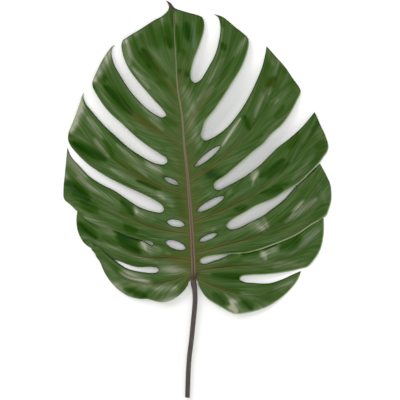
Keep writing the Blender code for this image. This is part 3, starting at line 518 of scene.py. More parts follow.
def smooth_curve(points, spacing, bend=math.radians(24)):
    """Centripetal Catmull-Rom curve, with more points where it bends more."""
    points = np.asarray(points, dtype=float)
    ends = np.vstack([2 * points[0] - points[1], points, 2 * points[-1] - points[-2]])
    curve = []
    for p0, p1, p2, p3 in zip(ends, ends[1:], ends[2:], ends[3:]):
        knots = [math.sqrt(np.linalg.norm(b - a)) for a, b in ((p0, p1), (p1, p2), (p2, p3))]
        start = (p1 - p0) / knots[0] - (p2 - p0) / (knots[0] + knots[1]) + (p2 - p1) / knots[1]
        stop = (p2 - p1) / knots[1] - (p3 - p1) / (knots[1] + knots[2]) + (p3 - p2) / knots[2]
        start, stop = start * knots[1], stop * knots[1]
        turn = np.dot(start, stop) / (np.linalg.norm(start) * np.linalg.norm(stop))
        turn = math.acos(max(-1.0, min(1.0, turn)))
        steps = max(1, math.ceil(np.linalg.norm(p2 - p1) / spacing), math.ceil(turn / bend))
        t = np.linspace(0, 1, steps, endpoint=False)[:, None]
        curve.append((2 * t**3 - 3 * t**2 + 1) * p1 + (t**3 - 2 * t**2 + t) * start
                     + (3 * t**2 - 2 * t**3) * p2 + (t**3 - t**2) * stop)
    curve.append(points[-1:])
    return np.vstack(curve)


def ease(value):
    """Smooth step from 0 to 1."""
    value = np.clip(value, 0, 1)
    return value * value * (3 - 2 * value)


def near(distance, width):
    """1 at no distance, fading to nothing over about twice the width."""
    return np.exp(-((distance / width) ** 2))


def settle(height, softness):
    """Heights below zero become flat rest, with a soft run into it."""
    soft = (height + softness) ** 2 / (4 * softness)
    return np.where(height > softness, height, np.where(height < -softness, 0, soft))


def length_of(line):
    return np.linalg.norm(np.diff(line, axis=0), axis=1).sum()


def distances_along(line):
    """How far along the line each of its points lies."""
    return np.concatenate([[0], np.cumsum(np.linalg.norm(np.diff(line, axis=0), axis=1))])


def points_along(line, distances):
    """The line's points at these distances."""
    lengths = distances_along(line)
    return np.column_stack([np.interp(distances, lengths, line[:, axis]) for axis in (0, 1)])


def unit(vectors):
    return vectors / np.linalg.norm(vectors, axis=1)[:, None]


def left_of(runs):
    """Unit directions to the left of these runs."""
    return unit(np.column_stack([-runs[:, 1], runs[:, 0]]))


def nearest_on(points, starts, runs):
    """For each point: the number of the nearest segment, the share along it and the distance."""
    x = points[:, 0:1] - starts[:, 0]
    y = points[:, 1:2] - starts[:, 1]
    share = np.clip((x * runs[:, 0] + y * runs[:, 1]) / (runs**2).sum(axis=1), 0, 1)
    squares = (x - share * runs[:, 0]) ** 2 + (y - share * runs[:, 1]) ** 2
    nearest = squares.argmin(axis=1)
    pick = np.arange(len(points))
    return nearest, share[pick, nearest], np.sqrt(squares[pick, nearest])


def measure(points, line):
    """Distance to a line of points, signed by side, and how far along the line its foot is."""
    starts, runs = line[:-1], np.diff(line, axis=0)
    nearest, share, distance = nearest_on(points, starts, runs)
    offset = points - starts[nearest]
    side = np.sign(runs[nearest, 0] * offset[:, 1] - runs[nearest, 1] * offset[:, 0])
    along = distances_along(line)[nearest] + share * np.linalg.norm(runs, axis=1)[nearest]
    return distance * side, along


def normals(points, line):
    """Direction to the left of the nearest part of a line."""
    runs = np.diff(line, axis=0)
    nearest, _, _ = nearest_on(points, line[:-1], runs)
    return left_of(runs)[nearest]


def loop_segments(loops):
    """All the segments of closed loops: start, run, and 1 in the loops of holes."""
    runs = np.vstack([np.roll(loop, -1, axis=0) - loop for loop in loops])
    holes = np.concatenate([np.full(len(loop), float(index > 0)) for index, loop in enumerate(loops)])
    return np.column_stack([np.vstack(loops), runs, holes])


def by_rows(measure_some, points, loops, reach):
    """Measures points against the loops, a row of points at a time and only against near segments."""
    segments = loop_segments(loops)
    low = np.minimum(segments[:, 1], segments[:, 1] + segments[:, 3])
    high = np.maximum(segments[:, 1], segments[:, 1] + segments[:, 3])
    order = np.argsort(points[:, 1])
    results = []
    for first in range(0, len(points), BATCH):
        row = points[order[first:first + BATCH]]
        close = (low <= row[-1, 1] + reach) & (high >= row[0, 1] - reach)
        results.append(measure_some(row, segments[close]))
    return np.concatenate(results)[np.argsort(order)]


def edge_facts(points, segments):
    """Distance to the nearest segment, the direction that it faces, and whether it is a hole's."""
    runs = segments[:, 2:4]
    nearest, _, distance = nearest_on(points, segments[:, :2], runs)
    return np.column_stack([distance, -left_of(runs)[nearest], segments[nearest, 4]])


def enclosed(points, segments):
    """True where an odd number of segments lies to the right."""
    starts, runs = segments[:, :2], segments[:, 2:4]
    x, y = points[:, 0:1], points[:, 1:2]
    crosses = (starts[:, 1] > y) != (starts[:, 1] + runs[:, 1] > y)
    rise = np.where(runs[:, 1] == 0, 1.0, runs[:, 1])
    hits = crosses & (x < runs[:, 0] * (y - starts[:, 1]) / rise + starts[:, 0])
    return hits.sum(axis=1) % 2 == 1


def wall_distance(points, loops):
    return by_rows(edge_facts, points, loops, EDGE_REACH)[:, 0]


def blade_contains(points, loops):
    """True inside the outline and outside its holes."""
    return by_rows(enclosed, points, loops, 0.0)


def leaf_lines():
    """Midrib, veins and borders as smooth lines in metres. The left side's sign is -1."""
    halves = (
        (-1, LEFT_VEINS, LEFT_BORDERS, LEFT_LIFTS, LEFT_STEPS, LEFT_LAPS, LEFT_INKS),
        (1, RIGHT_VEINS, RIGHT_BORDERS, RIGHT_LIFTS, RIGHT_STEPS, RIGHT_LAPS, RIGHT_INKS),
    )
    sides = []
    for sign, veins, borders, lifts, steps, laps, inks in halves:
        veins = [smooth_curve(place(vein), LINE_SPACING) for vein in veins]
        borders = [smooth_curve(place(border), LINE_SPACING) for border in borders]
        axes = [extended(vein, VEIN_EXTENSION) for vein in veins]
        sides.append(SimpleNamespace(sign=sign, veins=veins, axes=axes, borders=borders, lifts=lifts,
                                     steps=steps, laps=laps, inks=inks))
    return smooth_curve(place(MIDRIB), LINE_SPACING), sides


def extended(line, length):
    """The line with a straight piece added at its end."""
    run = line[-1] - line[-3]
    return np.vstack([line, line[-1] + run / np.linalg.norm(run) * length])


def rib_sizes(along, length, width, depth):
    """Half width and depth of a rib that tapers from its root to its end."""
    share = np.clip(along / length, 0, 1)
    return width / 2 * (1 - RIB_TAPER * share), depth * (1 - share) ** RIB_SINK


def rib_keel(gap, along, line, width, depth):
    """How far a rib stands out under the blade."""
    half, depth = rib_sizes(along, length_of(line), width, depth)
    return depth * np.sqrt(np.clip(1 - (gap / half) ** 2, 0, 1))


def survey(points, lines):
    """Where each plan point lies: across the leaf, in its lobe and beside its vein."""
    midrib, sides = lines
    across, along = measure(points, midrib)
    share = np.clip(along / length_of(midrib), 0, 1)
    half_width = np.where(across > 0, LEFT_HALF_WIDTH, RIGHT_HALF_WIDTH)
    reach = np.abs(across) / (half_width * np.sqrt(1 - ((share - WIDEST_SHARE) / TAPER_SHARE) ** 2))
    site = SimpleNamespace(across=across, share=share, reach=reach)
    names = ("lobe", "fold", "vein_gap", "vein_share", "edge_room", "lift", "step", "keel", "ink")
    for name in names:
        setattr(site, name, np.zeros(len(points)))
    site.shift = np.zeros_like(points)
    for side in sides:
        here = np.flatnonzero((across < 0) if side.sign > 0 else (across >= 0))
        spots = points[here]
        pick = np.arange(len(spots))
        edges = np.array([measure(spots, border)[0] * side.sign for border in side.borders])
        ribs = np.array([measure(spots, axis) for axis in side.axes])
        lengths = np.array([length_of(vein) for vein in side.veins])
        lobe = np.minimum((edges < 0).sum(axis=0), len(side.veins) - 1)
        gap, run = ribs[lobe, 0, pick], ribs[lobe, 1, pick]
        upper = np.abs(edges[np.maximum(lobe - 1, 0), pick])
        lower = np.abs(edges[lobe, pick])
        tipward = gap * side.sign > 0
        room = np.where(tipward & (lobe > 0), upper, np.where(tipward, APEX_FOLD, lower))
        fold = np.abs(gap) / (np.abs(gap) + room + TINY)
        closing = ease(reach[here] / STEP_RUN - STEP_DELAY)
        step = sum(amount * np.sign(edge) * near(edge, EDGE_STEP_WIDTH)
                   for edge, amount in zip(edges, side.steps))
        keels = [rib_keel(rib[0], rib[1], vein, VEIN_WIDTH, VEIN_DEPTH)
                 for vein, rib in zip(side.veins, ribs)]
        for border, edge, (lap, start) in zip(side.borders, edges, side.laps):
            if lap > 0:
                share_moved = near(edge, LAP_WIDTH) * ease((reach[here] - start) / LAP_START)
                push = MILLIMETRE * lap * share_moved * np.sign(edge) * side.sign
                site.shift[here] -= push[:, None] * normals(spots, border)
        facts = (
            lobe, np.where(tipward, -fold, fold), gap * (-1.0) ** lobe, run / lengths[lobe], room,
            np.array(side.lifts)[lobe], step * closing, np.max(keels, axis=0), np.array(side.inks)[lobe],
        )
        for name, value in zip(names, facts):
            getattr(site, name)[here] = value
    site.keel = np.maximum(site.keel, rib_keel(across, along, midrib, MIDRIB_WIDTH, MIDRIB_DEPTH))
    return site


def midrib_half(share):
    """Half width of the midrib's raised and coloured band."""
    return MIDRIB_TIP_HALF + MIDRIB_BASE_HALF * (1 - share) ** MIDRIB_NARROWING


def small_waves(points, site, edge_gap):
    """Ripples along the lobes, puckers at slits and holes, and the rolled margin."""
    fold = np.abs(site.fold)
    run = np.abs(site.across)
    sway = RIPPLE_SWAY * np.sin(run / RIPPLE_SWAY_RUN + RIPPLE_SHIFT * site.lobe)
    swing = np.sin(2 * math.pi * RIPPLES * fold + sway)
    relief = RIPPLE_HEIGHT * swing * ease(fold / RIPPLE_VEIN_FADE) * ease(site.reach / RIPPLE_MIDRIB_FADE)
    for spot, height, radius in PUCKERS:
        distance = np.linalg.norm(points - place(spot), axis=1)
        relief += height * near(distance, radius)
    return relief - MARGIN_ROLL * near(edge_gap, MARGIN_ROLL_WIDTH)


def blade_form(points, site, edge_gap):
    """Heights of the blade's upper and lower face at the plan points."""
    rib = JOINT_HEIGHT * (1 - site.share) + TIP_HEIGHT * site.share
    rib += ARCH_HEIGHT * np.sin(math.pi * site.share)
    swell = np.sin(math.pi * np.clip(site.reach, 0, 1))
    height = rib + SHOULDER_RISE * swell * ease(4 * site.share * (1 - site.share))
    height -= MARGIN_DROOP * rib * site.reach**2
    pleat = np.sin(math.pi * np.abs(site.fold) ** PLEAT_LEAN) - PLEAT_SINK
    height += PLEAT_HEIGHT * ease(site.reach / PLEAT_START) * pleat
    height += site.lift * site.reach**2 * ease(site.edge_room / LIFT_WIDTH)
    height += EDGE_STEP * site.step
    height += small_waves(points, site, edge_gap)
    lower = settle(height - BLADE_THICKNESS, REST_SOFTNESS)
    thinning = 1 - ease(edge_gap / EDGE_THINNING)
    upper = lower + BLADE_THICKNESS - (BLADE_THICKNESS - EDGE_THICKNESS) * thinning
    crest = np.abs(site.across) / midrib_half(site.share)
    upper += CREST_HEIGHT * (1 - ease((crest - CREST_TOP) / CREST_FLANK)) * (1 - 0.5 * site.share)
    upper -= CREST_GROOVE * near(crest, CREST_GROOVE_WIDTH) * (1 - site.share)
    furrow = near(site.vein_gap, VEIN_FURROW_WIDTH) * (1 - ease(site.vein_share))
    upper -= VEIN_FURROW * furrow * ease((crest - FURROW_START) / CREST_FLANK)
    return upper, np.maximum(lower - site.keel, 0)


def rib_rows(line, width, rows):
    """Rows of points along a rib, at shares of its half width from its crest."""
    length = distances_along(line)[-1]
    stations = np.linspace(0, length, max(3, round(length / VEIN_SPACING)))
    centre = points_along(line, stations)
    normal = left_of(np.gradient(centre, axis=0))
    half, _ = rib_sizes(stations, length, width, 0)
    return [centre + normal * (half * row)[:, None] for row in rows]


def hole_loop(start, stop, width):
    """Long hole with rather pointed ends, with the blade on its left."""
    start, stop = place([start, stop])
    middle, half = (start + stop) / 2, (stop - start) / 2
    side = np.array([-half[1], half[0]]) / np.linalg.norm(half) * width * UNIT / 2
    turns = np.linspace(2 * math.pi, 0, HOLE_SIDES, endpoint=False)
    bulge = np.sin(turns) * np.abs(np.sin(turns)) ** HOLE_POINT
    return middle + np.cos(turns)[:, None] * half + bulge[:, None] * side


def outline_loop(joint_row):
    """The closed outline of the blade, with the midrib's end face at the joint."""
    parts = [smooth_curve(place(stretch), EDGE_SPACING)[:-1] for stretch in BEFORE_JOINT]
    parts.append(joint_row)
    parts += [smooth_curve(place(stretch), EDGE_SPACING)[:-1] for stretch in AFTER_JOINT]
    return np.vstack(parts)


def add_row(points, edges, row, clear):
    """Adds a rib's clear points, each joined to the one before it."""
    last = None
    for spot, is_clear in zip(row, clear):
        if not is_clear:
            last = None
            continue
        points.append(spot)
        if last is not None:
            edges.append((last, len(points) - 1))
        last = len(points) - 1


def blade_plan(lines):
    """Plan points and faces of the blade, with its ribs in it, and the loops round it."""
    midrib, sides = lines
    ribs = rib_rows(midrib, MIDRIB_WIDTH, MIDRIB_ROWS)
    joint_y = ribs[0][0][1]
    joint_row = np.array(sorted((row[0][0], joint_y) for row in ribs))
    loops = [outline_loop(joint_row[:-1])]
    loops += [hole_loop(*hole) for hole in HOLES]
    rows = [row[1:] for row in ribs]
    crests = [midrib]
    for side in sides:
        for vein in side.veins:
            rows += [row[1:] for row in rib_rows(vein, VEIN_WIDTH, VEIN_ROWS)]
            crests.append(vein)
    points, edges = [], []
    for loop in loops:
        first = len(points)
        points += list(loop)
        edges += [(first + i, first + (i + 1) % len(loop)) for i in range(len(loop))]
    spots = np.vstack(rows)
    clear = blade_contains(spots, loops) & (wall_distance(spots, loops) > EDGE_CLEARANCE)
    splits = np.cumsum([len(row) for row in rows])[:-1]
    for row, row_clear in zip(rows, np.split(clear, splits)):
        add_row(points, edges, row, row_clear)
    low, high = loops[0].min(axis=0), loops[0].max(axis=0)
    xs = np.arange(low[0], high[0], LATTICE_SPACING)
    ys = np.arange(low[1], high[1], LATTICE_SPACING * math.sqrt(3) / 2)
    lattice = np.array([(x + (i % 2) * LATTICE_SPACING / 2, y) for i, y in enumerate(ys) for x in xs])
    lattice = lattice[blade_contains(lattice, loops)]
    lattice = lattice[wall_distance(lattice, loops) > LATTICE_EDGE_GAP * LATTICE_SPACING]
    for crest, width in zip(crests, [MIDRIB_WIDTH] + [VEIN_WIDTH] * (len(crests) - 1)):
        gap, along = measure(lattice, crest)
        half, _ = rib_sizes(along, length_of(crest), width, 0)
        lattice = lattice[np.abs(gap) > half + LATTICE_RIB_GAP * LATTICE_SPACING]
    points += list(lattice)
    flat, _, faces, _, _, _ = delaunay_2d_cdt([tuple(p) for p in points], edges, [], 0, 1e-7)
    flat = np.array([tuple(p) for p in flat])
    middles = flat[np.array(faces)].mean(axis=1)
    kept = blade_contains(middles, loops)
    return flat, [tuple(face) for face, keep in zip(faces, kept) if keep], loops


def rim_edges(faces):
    """The directed edges that only one face has."""
    directed = {(a, b) for face in faces for a, b in zip(face, face[1:] + face[:1])}
    return [(a, b) for a, b in directed if (b, a) not in directed]


def brushed(points, strokes):
    """Sum of soft strokes, each fading across and past its ends."""
    total = np.zeros(len(points))
    for *ends, width, amount in strokes:
        start, stop = place(np.reshape(ends, (2, 2)))
        _, share, distance = nearest_on(points, start[None], (stop - start)[None])
        taper = np.sqrt(1 - STROKE_TAPER * (2 * share - 1) ** 2)
        total += amount * near(distance, width * UNIT * taper)
    return np.clip(total, -1, 1)


def highlight_fan_rays(fans):
    """The strokes of the fans' painted highlight rays."""
    rays = []
    for start, stop, reach, spread, count, width, tone in fans:
        for share in np.linspace(0, 1, count):
            turn = math.radians(spread * (share - 0.5)) + math.atan2(reach[1], reach[0])
            length = math.hypot(*reach) * (1 - RAY_TAPER * abs(2 * share - 1))
            root = np.array(start) * (1 - share) + np.array(stop) * share
            tip = root + length * np.array([math.cos(turn), math.sin(turn)])
            rays.append((*root, *tip, width, tone))
    return rays


def add_object(name, data):
    thing = bpy.data.objects.new(name, data)
    bpy.context.scene.collection.objects.link(thing)
    return thing


def make_piece(name, points, faces):
    """A smooth-shaded mesh object that keeps its sharp edges."""
    mesh = bpy.data.meshes.new(name)
    mesh.from_pydata(points.tolist(), [], faces)
    mesh.shade_smooth()
    mesh.set_sharp_from_angle(angle=math.radians(SHARP_ANGLE))
    return add_object(name, mesh)


def add_attributes(piece, facts):
    """Numbers at the vertices for the materials to read."""
    for name, values in facts.items():
        layer = piece.data.attributes.new(name, "FLOAT", "POINT")
        layer.data.foreach_set("value", np.asarray(values, dtype=np.float32))


def rim_light(plan, site, edge):
    """Above zero where the rim gets painted shadow, below zero where it gets a painted highlight."""
    left = site.across > 0
    light = edge[:, 1] * RIM_LIGHT[0] * np.where(left, -1, 1) + edge[:, 2] * RIM_LIGHT[1]
    light = np.where(left, np.maximum(light, LEFT_PALENESS * light), light)
    light = np.where(edge[:, 3] > 0, HOLE_RIM, light)
    joint = np.linalg.norm(plan - place(STALK_PATH[0]), axis=1)
    return light * ease(joint / JOINT_FADE_RUN - JOINT_FADE_DELAY)


def make_blade(lines):
    """The blade: an upper face, a lower face with keeled ribs, and the rim between them."""
    plan, faces, loops = blade_plan(lines)
    site = survey(plan, lines)
    edge = by_rows(edge_facts, plan, loops, EDGE_REACH)
    upper, lower = blade_form(plan, site, edge[:, 0])
    count = len(plan)
    spread = plan + site.shift
    points = np.vstack([np.column_stack([spread, upper]), np.column_stack([spread, lower])])
    under = [tuple(count + index for index in reversed(face)) for face in faces]
    rim = [(b, a, count + a, count + b) for a, b in rim_edges(faces)]
    blade = make_piece("monstera_blade", points, faces + under + rim)
    facts = {
        "lobe_place": site.lobe + 0.5 * site.fold + np.where(site.across < 0, RIGHT_PLACE, 0),
        "lobe_run": np.abs(site.across),
        "fold_side": np.sign(site.fold),
        "vein_gap": site.vein_gap,
        "vein_share": site.vein_share,
        "midrib_gap": site.across,
        "midrib_ratio": np.abs(site.across) / midrib_half(site.share),
        "midrib_share": site.share,
        "edge_gap": edge[:, 0],
        "edge_light": rim_light(plan, site, edge),
        # Painted sheen and painted shade along the lobes, and painted highlights and painted shade at
        # creases and folds.
        "tone": brushed(plan, SHEEN_AND_SHADE_STROKES),
        "crease_highlight": brushed(plan, CREASE_HIGHLIGHTS + highlight_fan_rays(HIGHLIGHT_FANS)),
        "tint": brushed(plan, TINTS),
        "fold_shade": brushed(plan, PAINTED_FOLD_SHADES),
        "ink": site.ink,
    }
    add_attributes(blade, {name: np.tile(values, 2) for name, values in facts.items()})
    blade.data.materials.append(blade_material("leaf_upper", UPPER_LOOK))
    blade.data.materials.append(blade_material("leaf_lower", LOWER_LOOK))
    for index in range(len(faces), len(faces) + len(under)):
        blade.data.polygons[index].material_index = 1
    return blade


def stalk_radius(distance, length):
    """Radius along the stalk: the knee, then an even taper to the cut end."""
    plain = STALK_RADIUS * (1 + STALK_TAPER - STALK_TAPER * distance / length)
    bulge = near(distance - KNEE_CENTRE, KNEE_SPREAD)
    wave = 0.5 - 0.5 * np.cos(2 * math.pi * distance / KNEE_WRINKLE)
    wrinkles = KNEE_WRINKLE_DEPTH * STALK_RADIUS * wave
    return plain + (KNEE_RADIUS - STALK_RADIUS) * bulge - wrinkles * np.sqrt(bulge)


def stalk_section(turns):
    """Outline of the stalk for a radius of 1: deep grooves with fine ribs between them."""
    grooves = STALK_GROOVE_DEPTH * (0.5 + 0.5 * np.sin(STALK_GROOVES * turns))
    ribs = STALK_RIB_DEPTH * (0.5 + 0.5 * np.sin(STALK_RIBS * turns + STALK_RIB_TURN))
    return 1 - grooves - ribs * (grooves / STALK_GROOVE_DEPTH)


def make_stalk():
    """The stalk, from under the midrib's end to the cut end on the surface."""
    path = smooth_curve(place(STALK_PATH), STALK_SPACING)
    path[:, 1] -= STALK_GAP * np.exp(-np.arange(len(path)) / STALK_GAP_FADE)
    length = distances_along(path)[-1]
    stations = length * np.linspace(0, 1, STALK_STATIONS) ** STALK_CROWDING
    start = JOINT_HEIGHT - KNEE_RADIUS
    height = STALK_RADIUS + (start - STALK_RADIUS) * (1 - ease(stations / length))
    centre = np.column_stack([points_along(path, stations), height])
    heading = unit(np.gradient(centre, axis=0))
    across = unit(np.cross(heading, (0, 0, 1)))
    over = np.cross(across, heading)
    turns = np.linspace(0, 2 * math.pi, STALK_SIDES, endpoint=False)
    section = stalk_section(turns)
    radius = stalk_radius(stations, length)
    rings = []
    for index in range(STALK_STATIONS):
        ring = np.outer(np.cos(turns) * section, across[index])
        ring += np.outer(np.sin(turns) * section, over[index])
        rings.append(centre[index] + radius[index] * ring)
    rings.insert(0, centre[0] + KNEE_END * (rings[0] - centre[0]))
    rings.append(centre[-1] + CUT_END * (rings[-1] - centre[-1]))
    faces = []
    for low in range(len(rings) - 1):
        for side in range(STALK_SIDES):
            a, b = low * STALK_SIDES + side, low * STALK_SIDES + (side + 1) % STALK_SIDES
            faces.append((a, b, b + STALK_SIDES, a + STALK_SIDES))
    last = (len(rings) - 1) * STALK_SIDES
    faces.append(tuple(reversed(range(STALK_SIDES))))
    faces.append(tuple(range(last, last + STALK_SIDES)))
    stalk = make_piece("monstera_petiole", np.vstack(rings), faces)
    facts = {
        "stalk_groove": np.tile(1 - section, len(rings)),
        "stalk_cut": np.repeat([0.0] * (len(rings) - 1) + [1.0], STALK_SIDES),
    }
    add_attributes(stalk, facts)
    stalk.data.materials.append(stalk_material())
    return stalk


class Shading:
    """A material whose nodes are written as formulas."""

    def __init__(self, name):
        self.material = bpy.data.materials.new(name)
        self.material.use_nodes = True
        self.tree = self.material.node_tree
        self.shader = self.tree.nodes["Principled BSDF"]

    def feed(self, socket, value):
        """Sets a socket to a number or colour, or links another node's output to it."""
        if isinstance(value, bpy.types.NodeSocket):
            self.tree.links.new(value, socket)
        elif socket.type == "RGBA":
            socket.default_value = (*value, 1.0)
        else:
            socket.default_value = value

    def add(self, kind, values, output=0, **settings):
        """A node with these settings, its inputs fed in order, and the chosen output."""
        node = self.tree.nodes.new(kind)
        for name, setting in settings.items():
            setattr(node, name, setting)
        for key, value in values:
            self.feed(node.inputs[key], value)
        return node.outputs[output]

    def attribute(self, name):
        return self.add("ShaderNodeAttribute", [], "Fac", attribute_name=name)

    def math(self, operation, *values):
        return self.add("ShaderNodeMath", enumerate(values), operation=operation)

    def times(self, first, second):
        return self.math("MULTIPLY", first, second)

    def span(self, value, low, high, start=0.0, stop=1.0):
        """Runs smoothly from start to stop as the value goes from low to high."""
        values = enumerate((value, low, high, start, stop))
        return self.add("ShaderNodeMapRange", values, interpolation_type="SMOOTHSTEP")

    def mix(self, share, first, second):
        return self.add("ShaderNodeMix", [(0, share), (6, first), (7, second)], 2, data_type="RGBA")

    def noise(self, x, y, z, detail):
        """Soft noise, with one bump for about each whole number of its coordinates."""
        vector = self.add("ShaderNodeCombineXYZ", enumerate((x, y, z)))
        return self.add("ShaderNodeTexNoise", [("Vector", vector), ("Scale", 1.0), ("Detail", detail)])

    def lobe_noise(self, lobe, run, grain, lean=0.0):
        """Noise that lies along the lobes, and leans away from their veins where that is given."""
        across, along, seed, detail = grain
        place_across = self.math("ADD", self.times(lobe, across), lean)
        return self.noise(place_across, self.times(run, along), seed, detail)

    def ramp(self, value, stops):
        """Colour ramp through the stops."""
        node = self.tree.nodes.new("ShaderNodeValToRGB")
        self.feed(node.inputs[0], value)
        ramp = node.color_ramp
        while len(ramp.elements) < len(stops):
            ramp.elements.new(0.5)
        for element, (position, colour) in zip(ramp.elements, stops):
            element.position = position
            element.color = (*colour, 1.0)
        return node.outputs[0]

    def finish(self, colour, roughness, relief, distance, specular):
        """Feeds the shader, and turns the relief into a fine bump."""
        self.feed(self.shader.inputs["Base Color"], colour)
        self.feed(self.shader.inputs["Roughness"], roughness)
        self.shader.inputs["Specular IOR Level"].default_value = specular
        values = [("Strength", 1.0), ("Distance", distance), ("Height", relief)]
        self.feed(self.shader.inputs["Normal"], self.add("ShaderNodeBump", values))
        return self.material


def blade_tone(shade, streaks, veinlets, mottle, look):
    """How pale the green is: the placed strokes of painted sheen and painted shade, the painted
    highlights at the creases, and the noises, whose paler streaks are in part painted sheen.
    """
    edgy = shade.math("MULTIPLY_ADD", streaks, *STROKE_EDGING)
    strokes = shade.times(shade.attribute("tone"), edgy)
    tone = shade.math("MULTIPLY_ADD", strokes, look.stroke, look.plain)
    broken = shade.math("MULTIPLY_ADD", veinlets, *CREASE_EDGING)
    # Painted highlights at the puckers' creases.
    crease_highlight = shade.times(shade.attribute("crease_highlight"), broken)
    tone = shade.math("MULTIPLY_ADD", crease_highlight, look.stroke, tone)
    for noise, amount in ((streaks, look.streak), (veinlets, look.veinlet), (mottle, look.mottle)):
        tone = shade.math("ADD", tone, shade.math("MULTIPLY_ADD", noise, amount, -0.5 * amount))
    return tone


def tinted(shade, colour, look):
    """Olive, or blue that is partly a bluish painted sheen, where the tint says so, and olive beside the
    midrib and at the veins' roots.
    """
    tint = shade.attribute("tint")
    colour = shade.mix(shade.span(tint, 0.0, 1.0, 0, TINT_SHARE), colour, look.olive)
    shift = [(0, shade.span(tint, 0.0, -1.0)), (6, colour), (7, BLUE_SHIFT)]
    colour = shade.add("ShaderNodeMix", shift, 2, data_type="RGBA", blend_type="MULTIPLY")
    middle = shade.math("ABSOLUTE", shade.attribute("midrib_gap"))
    along = shade.span(shade.attribute("midrib_share"), 0.95, 0.2)
    beside = shade.times(shade.span(middle, *MIDRIB_OLIVE, 1, 0), along)
    vein = shade.math("ABSOLUTE", shade.attribute("vein_gap"))
    along = shade.span(shade.attribute("vein_share"), 0.8, 0.0)
    base = shade.times(shade.span(vein, *VEIN_OLIVE, 1, 0), along)
    share = shade.times(shade.math("MAXIMUM", beside, base), look.olive_share)
    return shade.mix(share, colour, look.olive)


def veined(shade, colour, look):
    """Side veins as thin brown lines with a pale edge, fading towards their ends."""
    vein = shade.math("ABSOLUTE", shade.attribute("vein_gap"))
    share = shade.attribute("vein_share")
    ratio = shade.math("DIVIDE", vein, shade.span(share, 0.0, 1.0, *VEIN_LINE_HALF))
    ridge = shade.times(shade.span(ratio, 1.0, 1.7), shade.span(ratio, 1.8, 3.2, 1, 0))
    ridge = shade.times(ridge, shade.span(share, 0.3, 1.05, 0.32, 0))
    colour = shade.mix(ridge, colour, look.vein_edge)
    line = shade.times(shade.span(ratio, 0.6, 1.35, 1, 0), shade.span(share, 0.2, 1.05, 0.85, 0))
    line = shade.times(line, shade.attribute("ink"))
    line_colour = shade.mix(shade.span(share, 0.30, 0.70), look.vein, look.vein_edge)
    return shade.mix(line, colour, line_colour)


def ribbed(shade, colour, look):
    """The midrib: a pale crest with painted shade down its middle and at its base, a thin brown border of
    painted shade at the crest's foot, and painted shade in the wrinkles.
    """
    share = shade.attribute("midrib_share")
    ratio = shade.attribute("midrib_ratio")
    crest = shade.mix(shade.span(share, 0.35, 0.85), look.midrib, look.midrib_tip)
    # Painted shade at the midrib's base, where it bends down into the stalk.
    crest = shade.mix(shade.span(share, 0.05, 0.0, 0, 0.7), crest, look.groove)
    # Painted shade along the foot of the crest.
    border = shade.times(shade.span(ratio, 0.8, 1.2), shade.span(ratio, 1.2, 1.9, 1, 0))
    colour = shade.mix(shade.times(border, 0.35), colour, look.vein)
    colour = shade.mix(shade.span(ratio, 0.75, 1.25, 0.9, 0), colour, crest)
    # Painted shade down the middle of the crest.
    groove = shade.times(shade.span(ratio, 0.10, 0.45, 1, 0), shade.span(share, 0.6, 0.0))
    colour = shade.mix(shade.times(groove, 0.85), colour, look.groove)
    # Painted shade in the wrinkles by the stalk and at the folded drip tip.
    return shade.mix(shade.attribute("fold_shade"), colour, look.groove)


def rimmed(shade, colour, look):
    """Painted shadow on the rims that face the rim light, and painted highlights on those that face away.
    """
    rim = shade.span(shade.attribute("edge_gap"), *RIM_BAND, 1, 0)
    light = shade.attribute("edge_light")
    dark = shade.times(rim, shade.span(light, 0.1, 0.8, 0, look.rim_share))
    pale = shade.times(rim, shade.span(light, -0.1, -0.8, 0, look.rim_share))
    return shade.mix(pale, shade.mix(dark, colour, PAINTED_RIM_SHADOW), PAINTED_RIM_HIGHLIGHT)


def blade_material(name, look):
    """Streaked and mottled green along the lobes with painted sheen and painted shade, painted highlights
    at creases, ribs in their own colours with painted shade on the midrib, and painted shadow and
    highlights on the rims.
    """
    shade = Shading(name)
    lobe = shade.attribute("lobe_place")
    run = shade.attribute("lobe_run")
    lean = shade.times(run, shade.times(shade.attribute("fold_side"), -FEATHER))
    streaks = shade.lobe_noise(lobe, run, STREAKS)
    veinlets = shade.lobe_noise(lobe, run, VEINLETS, lean)
    mottle = shade.lobe_noise(lobe, run, MOTTLE)
    tone = blade_tone(shade, streaks, veinlets, mottle, look)
    colour = shade.ramp(tone, look.greens)
    for layer in (tinted, veined, ribbed, rimmed):
        colour = layer(shade, colour, look)
    roughness = shade.span(tone, 0.1, 0.9, *look.roughness)
    relief = shade.math("ADD", shade.times(streaks, 0.6), shade.times(veinlets, 0.4))
    return shade.finish(colour, roughness, relief, look.bump, look.specular)


UPPER_LOOK = SimpleNamespace(
    greens=UPPER_GREENS, olive=UPPER_OLIVE, vein=UPPER_VEIN, vein_edge=VEIN_EDGE, midrib=MIDRIB_COLOUR,
    midrib_tip=MIDRIB_TIP_COLOUR, groove=MIDRIB_GROOVE_SHADE, plain=0.475, stroke=0.80, streak=0.44,
    veinlet=0.52, mottle=0.36, olive_share=0.5, rim_share=0.8, roughness=(0.34, 0.50), bump=0.0005,
    specular=0.05,
)
LOWER_LOOK = SimpleNamespace(
    greens=LOWER_GREENS, olive=LOWER_OLIVE, vein=LOWER_VEIN, vein_edge=LOWER_OLIVE, midrib=LOWER_VEIN,
    midrib_tip=LOWER_VEIN, groove=LOWER_VEIN, plain=0.5, stroke=0.12, streak=0.45, veinlet=0.40,
    mottle=0.35, olive_share=0.5, rim_share=0.0, roughness=(0.62, 0.72), bump=0.0004, specular=0.20,
)


